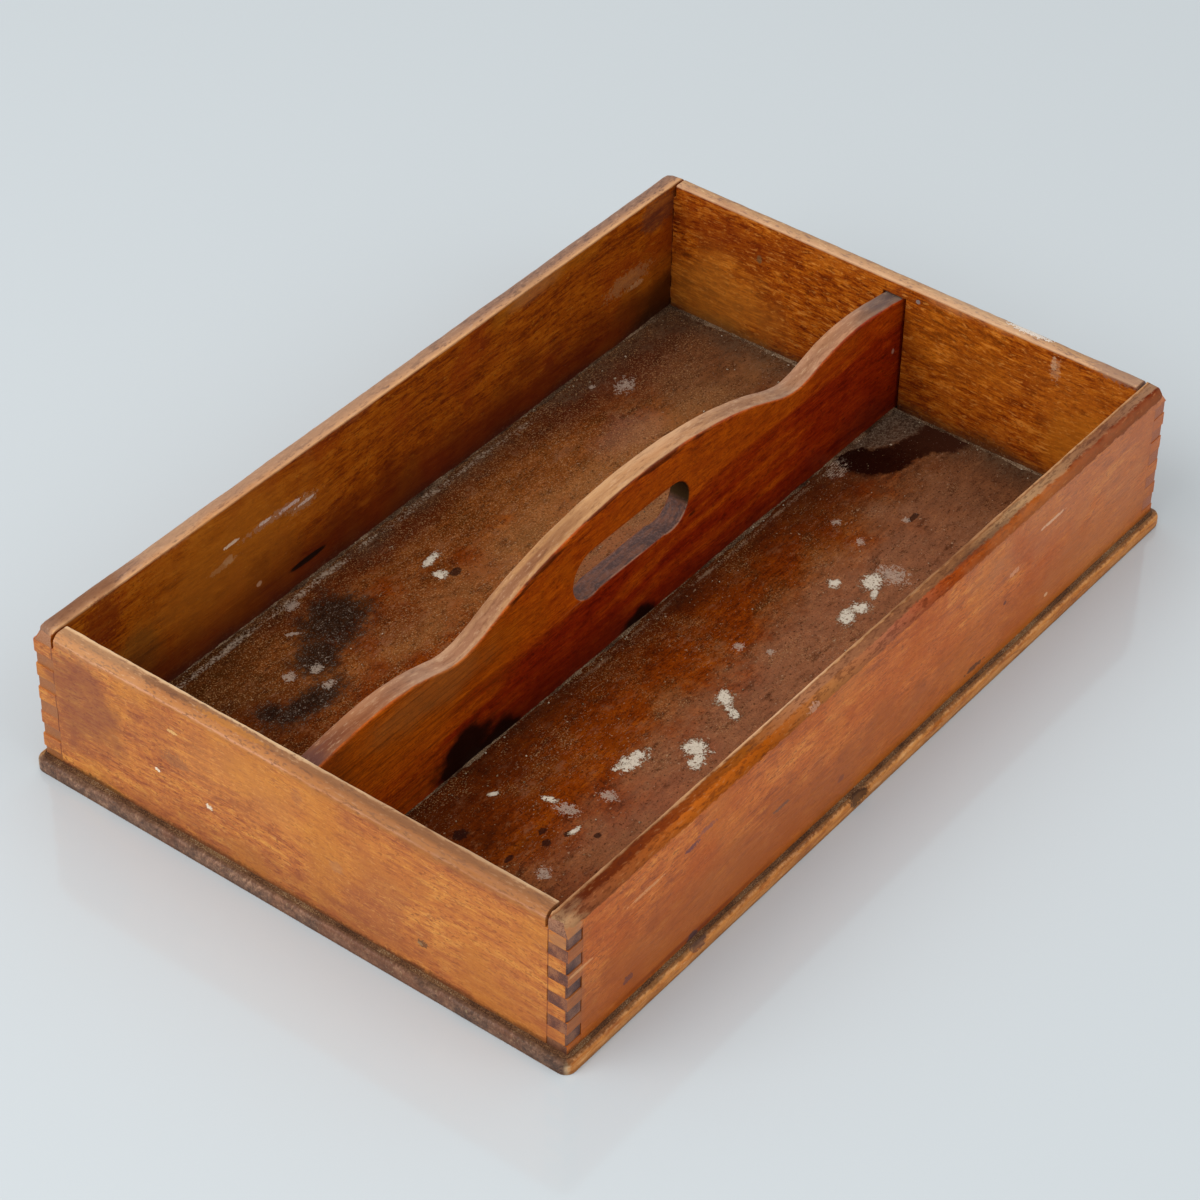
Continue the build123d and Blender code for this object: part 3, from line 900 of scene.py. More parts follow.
def endGrainFinish(kind):
    s = Finish("end_grain_" + kind)
    pores = s.noise(2.4, 3, detail=3, roughness=0.6)
    clouds = s.noise((0.2, 0.2, 0.16), 8, detail=2)
    tone = s.total((pores, 0.45), (clouds, 0.55))
    color = s.shade(s.band(tone, 0.36, 0.64), endGrainLooks[kind])
    color = s.lay(s.band(s.z, 14, 7), 0.5, "3c2a1c", color)
    # paler at the right end and at the back
    color = s.lay(s.band(s.x, 100, 150), 0.85, s.mix(pores, "90431f", "bd6c3b"), color)
    if kind == "long":
        color = s.lay(s.band(s.y, 60, 100), 0.8, s.mix(pores, "864a25", "be7941"), color)
    color = s.lay(s.both(s.band(s.z, 60.5, 63.5), s.band(pores, 0.35, 0.55)), 0.55, "a87c60", color)
    roughness = s.total((clouds, 0.3), 0.25)
    return s.done(color, roughness, pores, 0.00012, Specular_IOR_Level=0.3)


# Divider

dividerLook = {
    "gold": {
        "weights": {"bands": 0.12, "streaks": 0.14, "threads": 0.34, "mottle": 0.4}, "spread": 0.12,
        "tones": ["792701", "9d3c01", "af4a01", "c45905"],
        "over": [("pores", 0.6, 0.67, 0.5, "531501"), ("flecks", 0.59, 0.68, 0.45, "6d1f01"),
                 ("sparks", 0.62, 0.7, 0.35, "cd670e")]},
    "red": {
        "weights": {"bands": 0.2, "streaks": 0.2, "threads": 0.32, "mottle": 0.28}, "spread": 0.12,
        "tones": ["5d0c01", "811d01", "932a01", "aa3e03"],
        "over": [("pores", 0.6, 0.67, 0.5, "3f0500"), ("flecks", 0.62, 0.7, 0.4, "4f0801"),
                 ("sparks", 0.67, 0.72, 0.4, "b65114")]},
    # along the top edge: its middle and its rubbed borders
    "topRun": [(0.0, "603428"), (0.08, "744022"), (0.18, "9a6c50"), (0.36, "865636"), (0.46, "b07f54"),
               (0.58, "b48056"), (0.68, "926749"), (0.92, "98694c"), (1.0, "6e5a50")],
    "borderRun": [(0.0, "643a2c"), (0.08, "885230"), (0.19, "a67c60"), (0.36, "ac7a4c"), (0.47, "bd8d60"),
                  (0.64, "b2835e"), (0.76, "967058"), (0.9, "b07c5a"), (1.0, "846e60")],
    "face": -2.7,
    "faceMarks": [(-116, 52, 62, 20, 0.22, "b86b08", 1.2), (-60, 14, 62, 16, 0.25, "5c1002", 1.8),
                  (50, 62, 110, 12, 0.15, "a85c08", 1.6), (-120, 54, 30, 9, 0.4, "8c5c2c", 1.6),
                  (-176, 46, 14, 30, 0.4, "4c240a", 1.6)],
    "slotMarks": [((-6, -2.5, 40.1), (26, 0.7, 0.6), 0.6, "b07c5c", 1.2),
                  ((40, -2.75, 39), (2.2, 1.2, 0.8), 0.7, "240802", 0.9),
                  ((178, -2.7, 38), (0.9, 1.2, 1.4), 0.8, "b48a78", 0.8)],
    "stains": [(-98, 9, 16, 17), (-80, 5, 18, 9), (7, 5, 11, 8)],
    "topMarks": [((-180, 2, 62), (9, 7, 9), 0.6, "583630"), ((-150, 1, 66), (14, 3, 4), 0.25, "80421c"),
                 ((-119, 2, 62), (7, 4, 9), 0.2, "5c4c44"), ((-34, 3, 76), (12, 4, 5), 0.3, "84542e"),
                 ((-84, 6, 68), (14, 3, 9), 0.4, "6c3c20"), ((30, 6, 78), (22, 4, 4), 0.2, "e0b48c"),
                 ((-115, -1, 63), (12, 4, 6), 0.2, "c49878"), ((95, 2, 66), (10, 9, 6), 0.15, "d4a47c"),
                 ((101, 2, 60), (8, 5, 9), 0.15, "84786a"), ((135, 5, 66), (9, 3, 5), 0.2, "8a5420"),
                 ((-150, 5, 66), (14, 4, 4), 0.2, "c08860"),
                 ((164, -0.5, 66), (12, 3.4, 5), 0.45, "543c30"),
                 ((174, 4, 62), (10, 5, 9), 0.5, "4c464a")]}


def dividerFinish():
    s = Finish("divider_varnish")
    look = dividerLook
    grain = layGrain(s, 0, 57)
    height = s.total(s.z, -floorZ * 1000)
    # redder at the foot and towards the right end, golden above
    warm = s.total((height, 0.026), (s.x, -0.0016), (s.swing(grain["bands"]), 3.0),
                   (s.swing(grain["clouds"]), 1.4), (s.band(s.x, -100, -125), 0.8),
                   (s.band(s.x, 95, 135), -0.6))
    color = s.mix(s.band(warm, 0.25, 1.35), colorGrain(s, grain, look["red"]),
                  colorGrain(s, grain, look["gold"]))
    color = addMarks(s, color, onPlane(1, look["face"], look["faceMarks"]))
    lines = s.both(s.band(s.noise((0.012, 1.5, 1.5), 97, detail=2), 0.50, 0.62),
                   s.band(s.total(s.x, (s.swing(grain["clouds"]), 60.0)), -30.0, -110.0))
    color = s.lay(lines, 0.42, "4c2204", color)
    # painted shade: darker towards the divider's foot, fading out towards its left end
    foot = s.band(s.total(height, (s.swing(grain["clouds"]), 22.0)), 20.0, -2.0)
    color = s.lay(s.both(foot, s.band(s.x, -150, -60)), 0.5, "3c0a02", color)
    stains = onPlane(1, look["face"], look["stains"])
    stain = s.joined(s.patch(*place, 1.4, 0.9, noise=s.wavy) for place in stains)
    color = s.lay(s.band(stain, 0.05, 0.9), 0.96, "0c0302", color)

    below = s.add("ShaderNodeAttribute", {}, "Fac", attribute_name="below")  # millimetres under the outline
    through = s.total(s.y, -dividerLow.y * 1000)
    smear = s.noise((0.09, 0.55, 0.55), 91, detail=4, roughness=0.65)
    streaks = s.noise((0.03, 0.7, 0.7), 95, detail=2)
    crack = s.both(s.band(below, 2.9, 2.2), s.band(s.noise((0.03, 0.2, 0.2), 99, detail=3), 0.48, 0.56),
                   s.band(s.x, -92, -80), s.band(s.x, 60, 40))
    color = s.lay(crack, 0.7, "300c02", color)

    # the top edge, rubbed pale over the grip, with dark and light streaks along it
    topMask = s.both(s.band(s.total(below, (s.swing(smear), 1.6)), 1.5, 0.9),
                     s.band(s.total(through, (s.swing(smear), 0.8)), 0.5, 1.3))
    along = s.total((s.x, 1 / 365), 0.5, (s.swing(smear), 0.10))  # over the divider's length
    flaked = s.noise((0.14, 0.7, 0.7), 93, detail=5, roughness=0.75)
    fromMiddle = s.away(through, -4.75, (s.swing(streaks), 1.4))
    border = s.band(s.total(fromMiddle, (s.swing(smear), 2.4), (s.swing(flaked), 1.6)), 1.2, 2.6)
    top = s.mix(border, s.shade(along, look["topRun"]), s.shade(along, look["borderRun"]))
    top = s.lay(s.band(s.total((streaks, 0.5), (smear, 0.5)), 0.50, 0.62), 0.30, "6c4028", top)
    top = s.lay(s.band(s.total((streaks, 0.4), (smear, 0.6)), 0.47, 0.36), 0.20, "cc9c70", top)
    top = s.lay(s.band(flaked, 0.53, 0.66), 0.45, "5c3420", top)
    top = s.lay(s.band(flaked, 0.47, 0.34), 0.30, "d8b08a", top)
    for center, radii, share, code in look["topMarks"]:
        top = s.lay(s.patch(center, radii, 1.6, 0.9, noise=smear), share, code, top)
    arris = s.most(s.band(through, 0.9, 0.5), s.band(through, 8.9, 9.2))
    top = s.lay(s.both(arris, s.band(smear, 0.60, 0.46)), 0.6, "d0a47c", top)
    color = s.mix(topMask, color, top)

    # the slot: a painted grey reflection on its sawn floor where the faces point up, darker on the faces
    # that do not
    slot = s.both(s.band(through, 0.05, 0.5), s.band(through, 9.45, 9.0), s.band(below, 4.0, 5.0))
    normal = s.add("ShaderNodeSeparateXYZ", {0: s.add("ShaderNodeNewGeometry", {}, "Normal")}, "Z")
    sawn = s.mix(s.band(smear, 0.4, 0.6), "4e3834", "6e4636")
    sawn = s.lay(s.band(grain["grit"], 0.46, 0.66), 0.35, "84645a", sawn)
    sawn = s.lay(s.both(s.band(through, 1.0, 0.3), s.band(smear, 0.46, 0.56)), 0.6, "b08468", sawn)
    color = s.mix(slot, color, s.mix(s.band(normal, 0.15, 0.5), "3c2a14", sawn))
    color = addMarks(s, color, look["slotMarks"])
    roughness = s.total((grain["streaks"], 0.2), (grain["clouds"], 0.3), (topMask, 0.12), (slot, 0.1), 0.22)
    relief = s.total((grain["streaks"], 0.4), (grain["threads"], 0.35), (grain["grit"], 0.15), (smear, 0.3))
    return s.done(color, roughness, relief, 0.00018, Specular_IOR_Level=0.12)


# Base board: the floor of the compartments, the ledge and nose, and the underside

floorLook = {
    "clean": {
        "weights": {"bands": 0.14, "threads": 0.16, "mottle": 0.26, "grit": 0.28, "clouds": 0.16},
        "spread": 0.08, "tones": ["571c00", "742c00", "853701", "964603"],
        "over": [("pores", 0.6, 0.67, 0.5, "3a0f00"), ("flecks", 0.62, 0.7, 0.5, "471700"),
                 ("clouds", 0.5, 0.66, 0.5, "652601")]},
    "dusty": {
        "weights": {"bands": 0.1, "threads": 0.18, "mottle": 0.26, "grit": 0.32, "clouds": 0.14},
        "spread": 0.08, "tones": ["532a08", "6f3810", "814318", "985724"],
        "over": [("pores", 0.6, 0.67, 0.5, "391703"), ("flecks", 0.62, 0.7, 0.5, "421d04"),
                 ("clouds", 0.5, 0.66, 0.4, "733f15")]},
    # lighter and darker areas: x, y, radii, share, colour, ragged
    "shades": [(52, 34, 52, 22, 0.5, "a0704c", 1.6), (99, 72, 17, 11, 0.15, "a47a70", 2),
               (-36, 103, 46, 7, 0.6, "4c1606", 1.6), (130, 100, 60, 9, 0.6, "3c1c10", 1.6),
               (118, 96, 36, 14, 0.35, "5c200c", 1.6), (176, -60, 9, 30, 0.4, "4a3020", 1.6),
               (55, 60, 110, 13, 0.35, "a87040", 1.6), (-54, 70, 16, 11, 0.4, "5a2204", 1.6),
               (-26, 80, 34, 22, 0.28, "5c2202", 1.6), (62, 105, 92, 8, 0.5, "481604", 1.6),
               (112, -22, 28, 11, 0.4, "501a04", 1.6), (-110, -22, 34, 13, 0.4, "441602", 1.6)],
    # where plaster splashed, and where little of it is left: x, y, radii, turn, ragged
    "splashes": [(-59, -49.5, 8.4, 3.6, -0.12, 2.6), (-38, -63.5, 5.2, 5.0, 0.3, 1.3),
                 (-42, -68, 6.5, 3.2, 0.1, 2.8), (-8.5, -55.5, 4.8, 3.6, 0.5, 1.6),
                 (-13, -62, 5.4, 2.0, 1.0, 2.8), (59.4, -64.6, 6.2, 3.6, 0.3, 1.1),
                 (67.5, -65.5, 4.4, 4.2, 0.0, 2.0), (83, -60, 6.0, 4.6, 0.2, 1.0),
                 (78, -64.5, 4.0, 1.6, 0.5, 1.4), (73, -49, 2.5, 2.9, 0.0, 1.5),
                 (-101, -56, 3.9, 1.2, -0.1, 1.8), (-93.7, -38.6, 1.6, 3.6, 0.3, 1.4),
                 (-104.4, -20.6, 2.4, 1.2, -0.4, 1.6), (-14.4, 83.6, 5.6, 2.3, 0.15, 1.7),
                 (-19, 74.5, 3.0, 3.0, 0.0, 1.9)],
    "faint": [(92, -64.5, 4.6, 6.2, 0.0, 3.0), (-94, -47, 3.0, 4.6, 0.1, 2.6),
              (-125.6, -61, 2.8, 2.8, 0.0, 2.4), (-79, -54, 2.6, 3.4, 0.2, 2.8),
              (105, -27.8, 2.2, 2.0, 0.0, 1.5), (101, -42, 2.4, 1.6, 0.4, 2.0),
              (123.8, -48.4, 1.7, 1.5, 0.0, 1.0), (18.8, -42, 2.4, 2.0, 0.0, 2.2),
              (23.8, -53.4, 1.8, 1.8, 0.0, 1.8), (-102, 80.5, 2.8, 2.6, 0.0, 1.6),
              (-92, 75.5, 3.0, 2.6, 0.0, 1.4), (-96, 66, 3.0, 2.2, 0.0, 2.6),
              (-82.5, 96, 3.4, 0.9, -0.7, 0.8), (125, 93.6, 5.0, 3.6, 0.2, 3.4),
              (115, 103.6, 1.8, 1.4, 0.0, 1.4), (-70, 107.3, 3.2, 2.4, 0.0, 1.0)],
    "mould": [(-66, 88, 16, 12, 0.3, 1.6), (-86, 79, 13, 8, 0.25, 1.8), (-111, 65, 19, 6.6, -0.05, 1.4),
              (-122, 72, 6, 6, 0.0, 1.4)],
    "pits": [(-112.5, -52, 2.2, 1.5), (-108.7, -47, 2.0, 1.3), (-127.5, -46.5, 2.4, 1.2),
             (-104, -55, 1.8, 1.2), (-128.7, -25, 3.5, 2.6), (127, -50, 3.4, 1.5), (-98, -64, 1.6, 1.2),
             (-14, 71, 2.8, 2.0)],
    # old varnish spilt at the far end
    "puddles": [(144, -12, 8.5, 12, -0.1, 0.7), (152, -21, 12, 8.5, -0.3, 0.7),
                (165, -24.5, 14, 7, -0.2, 0.7), (179, -30, 12, 11, -0.5, 0.7)]}


def floorFinish():
    s = Finish("compartment_floor")
    grain = layGrain(s, 0, 73)
    look = floorLook
    level, thick = floorZ * 1000, 8
    woodRelief = s.total((grain["streaks"], 0.4), (grain["threads"], 0.3), (grain["grit"], 0.35))
    drift = s.noise(0.045, 21, detail=4, roughness=0.6)

    def pool(kind, edge, noise=None):
        # All the marks of one kind as one mask
        return s.joined(s.patch(center, radii, ragged, edge, turn, noise)
                        for center, radii, turn, ragged in onPlane(2, level, look[kind], thick))

    # cleaner beside the divider, dustier towards the long boards and the right
    fromDivider = s.total(s.away(s.y, -2.0), -4.75)
    dusty = s.total((fromDivider, 0.013), (s.x, 0.0030), (s.swing(drift), 3.0))
    color = s.mix(s.band(dusty, 0.1, 0.9), colorGrain(s, grain, look["clean"]),
                  colorGrain(s, grain, look["dusty"]))
    leftEnd = s.band(s.total(s.x, (s.swing(drift), 110.0), (s.y, -0.35)), -75.0, -165.0)
    color = s.lay(leftEnd, 0.65, "341804", color)
    rightEnd = s.band(s.total(s.x, (s.swing(drift), 90.0), (fromDivider, 0.2)), 105.0, 165.0)
    color = s.lay(rightEnd, 0.6, s.mix(grain["mottle"], "4c3020", "6c4c34"), color)
    color = addMarks(s, color, onPlane(2, level, look["shades"], thick))
    # a pinkish haze at the front, and mottling over everything
    haze = s.band(s.total((s.y, -1.0), (s.swing(drift), 44.0), (s.x, 0.06)), 36.0, 62.0)
    haze = s.both(haze, s.band(s.x, 190.0, 95.0), s.band(s.x, -175.0, -70.0))
    color = s.lay(haze, 0.55, s.mix(grain["mottle"], "7c4a34", "a87456"), color)
    worn = s.noise((0.13, 0.24, 0.24), 47, detail=5, roughness=0.7)
    color = s.lay(s.band(worn, 0.53, 0.68), 0.42, "3c1404", color)
    color = s.lay(s.band(worn, 0.46, 0.33), 0.30, s.mix(grain["clouds"], "a06a34", "8c6050"), color)

    # painted shadow along the walls and the divider, dust along the walls, and sandy grit that lies in
    # drifts
    wallX = s.total((s.calc("ABSOLUTE", s.x), -1.0), innerX * 1000)
    wallY = s.total((s.calc("ABSOLUTE", s.y), -1.0), innerY * 1000)
    toWall = s.calc("MINIMUM", s.calc("MINIMUM", wallX, wallY), fromDivider)
    near = s.total(toWall, (s.swing(drift), 46.0), (s.x, -0.03))
    shadow = s.band(s.total(toWall, (s.swing(drift), 22.0)), 12.0, 0.0)
    color = s.lay(shadow, 0.5, "2c160a", color)
    # painted shade on the floor in front of the divider's foot, with less dust there too
    beside = s.both(s.band(s.y, 10.0, -2.0), s.band(fromDivider, 26.0, 8.0), s.band(s.x, 175.0, 120.0))
    dusting = s.both(s.band(near, 12.0, -4.0), s.band(grain["grit"], 0.30, 0.62),
                     s.total((beside, -0.75), 1.0))
    color = s.lay(dusting, 0.5, "64503c", color)
    color = s.lay(beside, 0.45, "300a01", color)
    fine = s.noise(1.5, 33, detail=2, roughness=0.75)
    fromMiddle = s.away(s.x, -15.0)
    sandy = s.total(drift, (s.swing(worn), 0.7), (s.y, 0.0014), (fromMiddle, -0.0007))
    sand = s.both(s.band(fine, 0.56, 0.64), s.band(sandy, 0.40, 0.58))
    color = s.lay(sand, 0.66, s.mix(grain["mottle"], "a0692e", "cca274"), color)
    color = s.lay(s.band(fine, 0.44, 0.36), 0.45, "301406", color)
    coarse = s.noise(0.8, 35, detail=1)
    color = s.lay(s.both(s.band(coarse, 0.68, 0.74), s.band(worn, 0.50, 0.60)), 0.6, "b89878", color)
    hairs = s.noise((0.4, 1.7, 1.7), 39, detail=1, distortion=1.8)
    strands = s.both(s.band(hairs, 0.66, 0.72), s.band(grain["clouds"], 0.42, 0.56))
    color = s.lay(strands, 0.4, "b08e70", color)
    color = s.lay(s.band(coarse, 0.36, 0.30), 0.55, "2c1004", color)

    ridge = s.away(s.y, -109.4, (s.swing(drift), 5.0))
    ridge = s.both(s.band(s.total(ridge, (s.swing(s.ragged), 3.0)), 1.8, 0.6), s.band(s.x, 110.0, 40.0),
                   s.band(s.total((fine, 0.4), (coarse, 0.3), (s.wavy, 0.3)), 0.47, 0.57))
    foot = s.away(s.y, 6.2, (s.swing(drift), 4.0))
    foot = s.both(s.band(s.total(foot, (s.swing(s.ragged), 3.0)), 1.2, 0.2),
                  s.band(s.total((fine, 0.5), (s.wavy, 0.5)), 0.47, 0.58))
    color = s.lay(ridge, 0.7, s.mix(coarse, "7c6654", "c8b49c"), color)
    foot = s.both(foot, s.band(s.total(s.x, (s.swing(drift), 160.0)), -60.0, 50.0))
    color = s.lay(foot, 0.5, "a08468", color)

    # mould, and pits in the wood
    big = s.noise(0.42, 43, detail=4, roughness=0.68)
    mould = pool("mould", 1.5, s.wavy)
    color = s.lay(s.band(s.total(mould, (s.swing(worn), 2.0)), 0.0, 0.8), 0.45, "2c180c", color)
    bloom = s.band(s.total(mould, (s.swing(big), 1.6), (s.swing(fine), 1.8)), 0.22, 0.95)
    color = s.lay(bloom, 0.88, s.mix(s.band(big, 0.4, 0.6), "0e0705", "2c1c12"), color)
    fluff = s.total((fine, 0.55), (hairs, 0.25), (big, 0.2))
    color = s.lay(s.both(mould, s.band(fluff, 0.54, 0.62)), 0.6, s.mix(big, "5c4c40", "b8a898"), color)
    pits = [(*pit, 0.8, "1e0e0c", 1.4) for pit in look["pits"]]
    color = addMarks(s, color, onPlane(2, level, pits, thick))

    # old varnish spilt at the far end of the front compartment, with a grey corner behind it
    spill = pool("puddles", 0.3, big)
    spill = s.both(spill, s.band(s.total((s.x, 0.40), s.y, -53.0, (s.swing(s.ragged), 3.0)), 1.0, 0.0))
    older = s.band(s.total(s.x, (s.swing(big), 24.0)), 150.0, 178.0)
    color = s.lay(spill, 0.94, s.mix(older, "1a0402", "34180e"), color)
    corner = s.both(s.patch((172, -7, level), (27, 13, thick), 0.6, 0.3, -0.3, big), s.other(spill))
    gravel = s.band(s.total((fine, 0.6), (coarse, 0.4)), 0.42, 0.62)
    color = s.lay(corner, 0.7, s.mix(gravel, "3c2e24", "746454"), color)
    lint = s.both(s.patch((134, -8, level), (6.5, 4, thick), 1.6, 0.6, 0.4), s.band(hairs, 0.52, 0.60))
    color = s.lay(lint, 0.75, "c0aa94", color)

    # plaster: rubbed away, and crusted
    faint = pool("faint", 1.6)
    faint = s.band(s.total(faint, (s.swing(fine), 2.6), (s.swing(big), 1.2)), 0.55, 0.75)
    color = s.lay(faint, 0.62, s.mix(coarse, "8c7a6c", "ccb8a4"), color)
    splash = pool("splashes", 1.3, big)
    crumbly = s.band(s.total(splash, (s.swing(fine), 2.4), (s.swing(s.ragged), 1.6)), 0.52, 0.72)
    body = s.total((coarse, 0.35), (splash, 0.35), (fine, 0.3))
    color = s.lay(crumbly, 0.93, s.mix(s.band(body, 0.43, 0.69), "8c7458", "d4c8b4"), color)

    roughness = s.total((drift, 0.35), (spill, -0.2), (shadow, 0.2), 0.36)
    relief = s.total(woodRelief, (crumbly, 0.8), (sand, 0.4), (hairs, 0.3))
    return s.done(color, roughness, relief, 0.00022, Specular_IOR_Level=0.02)


noseLooks = {
    "front": {
        "weights": {"bands": 0.26, "streaks": 0.34, "threads": 0.16, "mottle": 0.24}, "spread": 0.12,
        "tones": ["9c5520", "b76f2d", "cb843f", "dca367"],
        "over": [("flecks", 0.62, 0.7, 0.4, "77441f"), ("sparks", 0.64, 0.71, 0.25, "d4a883")]},
    "end": {
        "weights": {"bands": 0.3, "streaks": 0.34, "threads": 0.2, "mottle": 0.16}, "spread": 0.095,
        "tones": ["4a352b", "634738", "7c5a47", "9f7a60"],
        "over": [("clouds", 0.48, 0.62, 0.5, "855338"), ("flecks", 0.6, 0.68, 0.4, "39281f"),
                 ("sparks", 0.64, 0.7, 0.4, "b49973")]},
    "marks": [((-193, -75, 5), (6, 60, 4), 0.15, "2c201a", 1.6),
              ((-19.5, -125, 4), (6, 3, 3), 0.8, "24140c", 1.6),
              ((-118, -124, 6), (5, 3, 3), 0.6, "3a3034", 1.4)],
}


def noseFinish():
    s = Finish("base_nose")
    grain = layGrain(s, 0, 83)
    outX = s.total(s.calc("ABSOLUTE", s.x), -outerX * 1000)
    outY = s.total(s.calc("ABSOLUTE", s.y), -outerY * 1000)
    atEnd = s.both(s.band(outX, -0.5, 1.0), s.band(s.total(outY, (outX, -1.0)), 0.5, -0.5))
    color = s.mix(atEnd, colorGrain(s, grain, noseLooks["front"]), colorGrain(s, grain, noseLooks["end"]))
    # a painted highlight along the arris of the front and back, and pale where the corners are rubbed
    out = s.most(outX, outY)
    arris = s.both(s.band(s.z, 4.6, 5.6), s.band(out, 1.6, 2.2), s.band(s.ragged, 0.40, 0.55))
    color = s.lay(s.both(arris, s.other(atEnd)), 0.35, "cc9c68", color)
    corner = s.both(s.band(s.total(outX, (s.swing(s.ragged), 3.0)), 0.5, 2.0), s.band(outY, 0.5, 2.0))
    color = s.lay(corner, 0.75, "dcb88c", color)
    # grime on the ledge, as far as the nose
    reach = s.total(out, (s.swing(s.ragged), 1.8), (s.swing(grain["clouds"]), 2.0))
    ledge = s.both(s.band(reach, 3.0, 2.2), s.band(s.total(s.z, (s.swing(s.ragged), 1.6)), 3.6, 4.6))
    grime = s.mix(s.band(s.total((grain["grit"], 0.6), (s.ragged, 0.4)), 0.46, 0.62), "50321e", "7c5a3e")
    color = s.lay(ledge, s.total((atEnd, -0.03), 0.7), grime, color)
    # painted shade: darker towards the bottom edge of the board all round
    color = s.lay(s.band(s.total(s.z, (s.swing(grain["clouds"]), 3.0)), 2.2, 0.4), 0.5, "4a2c18", color)
    color = addMarks(s, color, noseLooks["marks"])
    roughness = s.total((grain["clouds"], 0.3), (ledge, 0.3), 0.34)
    relief = s.total((grain["streaks"], 0.4), (grain["grit"], 0.15), (s.ragged, 0.25), (ledge, 0.4))
    return s.done(color, roughness, relief, 0.00018, Specular_IOR_Level=0.2)


def undersideFinish():
    s = Finish("underside_wood")
    grain = layGrain(s, 0, 101)
    color = colorGrain(s, grain, {
        "weights": {"bands": 0.25, "streaks": 0.35, "threads": 0.25, "mottle": 0.15}, "spread": 0.105,
        "tones": ["6a4a32", "86623f", "9c7650", "b08a62"],
        "over": [("clouds", 0.48, 0.66, 0.5, "7c5c40"), ("flecks", 0.60, 0.68, 0.5, "54392a")]})
    rings = s.band(s.noise(0.02, 7, detail=3, distortion=1.0), 0.55, 0.62)
    color = s.lay(rings, 0.4, "5c4230", color)
    rust = s.band(s.noise(0.06, 9, detail=3), 0.62, 0.7)
    color = s.lay(rust, 0.3, "6c3c1c", color)
    relief = s.total((grain["streaks"], 0.5), (grain["threads"], 0.5))
    return s.done(color, s.total((grain["clouds"], 0.2), 0.6), relief, 0.0002, Specular_IOR_Level=0.2)


def dirtFinish(name, tones, glint):
    s = Finish(name)
    grit = s.noise(2.2, 13, detail=3, roughness=0.7)
    drift = s.noise(0.06, 19, detail=3, roughness=0.55)
    color = s.shade(s.band(s.total((grit, 0.6), (drift, 0.4)), 0.38, 0.62), tones)
    color = s.lay(s.both(s.band(grit, 0.58, 0.66), s.band(drift, 0.44, 0.6)), 0.7, glint, color)
    return s.done(color, s.total((grit, 0.1), 0.85), grit, 0.0004, Specular_IOR_Level=0.12)


def ironFinish():
    s = Finish("nail_rust")
    rust = s.noise(0.9, 5, detail=4, roughness=0.65)
    color = s.shade(s.band(rust, 0.34, 0.66), ["2c221e", "54382a", "7c4a2a", "94684a"])
    return s.done(color, s.total((rust, 0.3), 0.5), rust, 0.0002, Metallic=0.35)


# Dirt: dust caked along the seams inside, grime in the angle of the ledge, and crumbs on the floors

dirt = {
    "step": 0.0012,
    "block": 0.001,  # height of the ring before it is shaped
    "sink": 0.0005,
    "corner": 0.003,
    "ledge": 0.0014,  # how far the grime lies out of the walls
    "cuts": (0.3, 0.65),  # across the ring, as shares of its width
    "buried": 0.0003,  # what lies deeper stays as it is
    "wear": [(0.0028, 1.0, 0.5), (0.03, 1.4, 0.55)],  # size of the lumps, share of the roughness, level
}


def makeDirtRing(name, low, high, width, outerHeight, innerHeight, rough, rounded):
    # A ring of the width inside the rectangle, with a height of its own at each border
    ring = addBlock(name, (*low, floorZ - dirt["sink"]), (*high, floorZ + dirt["block"]))
    if rounded:
        choose(ring, "EDGE", lambda a, b: abs(a.z - b.z) > hair)
        bevelChosen(dirt["corner"], 3)
    for face in (1, -1):
        choose(ring, "FACE", lambda c, n: n.z * face > 0.9)
        bpy.ops.mesh.inset(thickness=width)
    inner = lambda p: low[0] + width - hair < p.x < high[0] - width + hair and (
        low[1] + width - hair < p.y < high[1] - width + hair)
    choose(ring, "FACE", lambda c, n: abs(n.z) > 0.9 and abs(c.x - (low[0] + high[0]) / 2) < hair
           and abs(c.y - (low[1] + high[1]) / 2) < hair)
    bpy.ops.mesh.delete(type="FACE")
    choose(ring, "EDGE", lambda a, b: abs(a.z - b.z) < hair and inner(a) and inner(b))
    bpy.ops.mesh.bridge_edge_loops()
    choose(ring, "VERT", lambda p: p.z > floorZ and inner(p))
    moveChosen(z=innerHeight - dirt["block"])
    choose(ring, "VERT", lambda p: p.z > floorZ + max(innerHeight, 0) + hair and not inner(p))
    moveChosen(z=outerHeight - dirt["block"])
    cutAt(0, evenly(low[0], high[0], dirt["step"]))
    cutAt(1, evenly(low[1], high[1], dirt["step"]))
    for axis in (0, 1):
        cutAt(axis, [low[axis] + width * part for part in dirt["cuts"]])
        cutAt(axis, [high[axis] - width * part for part in dirt["cuts"]])
    for size, share, level in dirt["wear"]:
        wearAway(ring, lambda p: p.z > floorZ - dirt["buried"], size, rough * share, level)
    return ring


crumbs = {
    "count": 240,
    "size": (0.00018, 0.00045),
    "spread": 0.006,  # how far from a wall they lie on average
    "clear": 0.001,  # none lies nearer to a wall
    "toLong": 0.75,  # the share drawn to the long walls, then to the back one and to the right one
    "toBack": 0.7,
    "toRight": 0.6,
    "stretch": ((0.7, 1.6), (0.7, 1.4), (0.5, 0.9)),
}


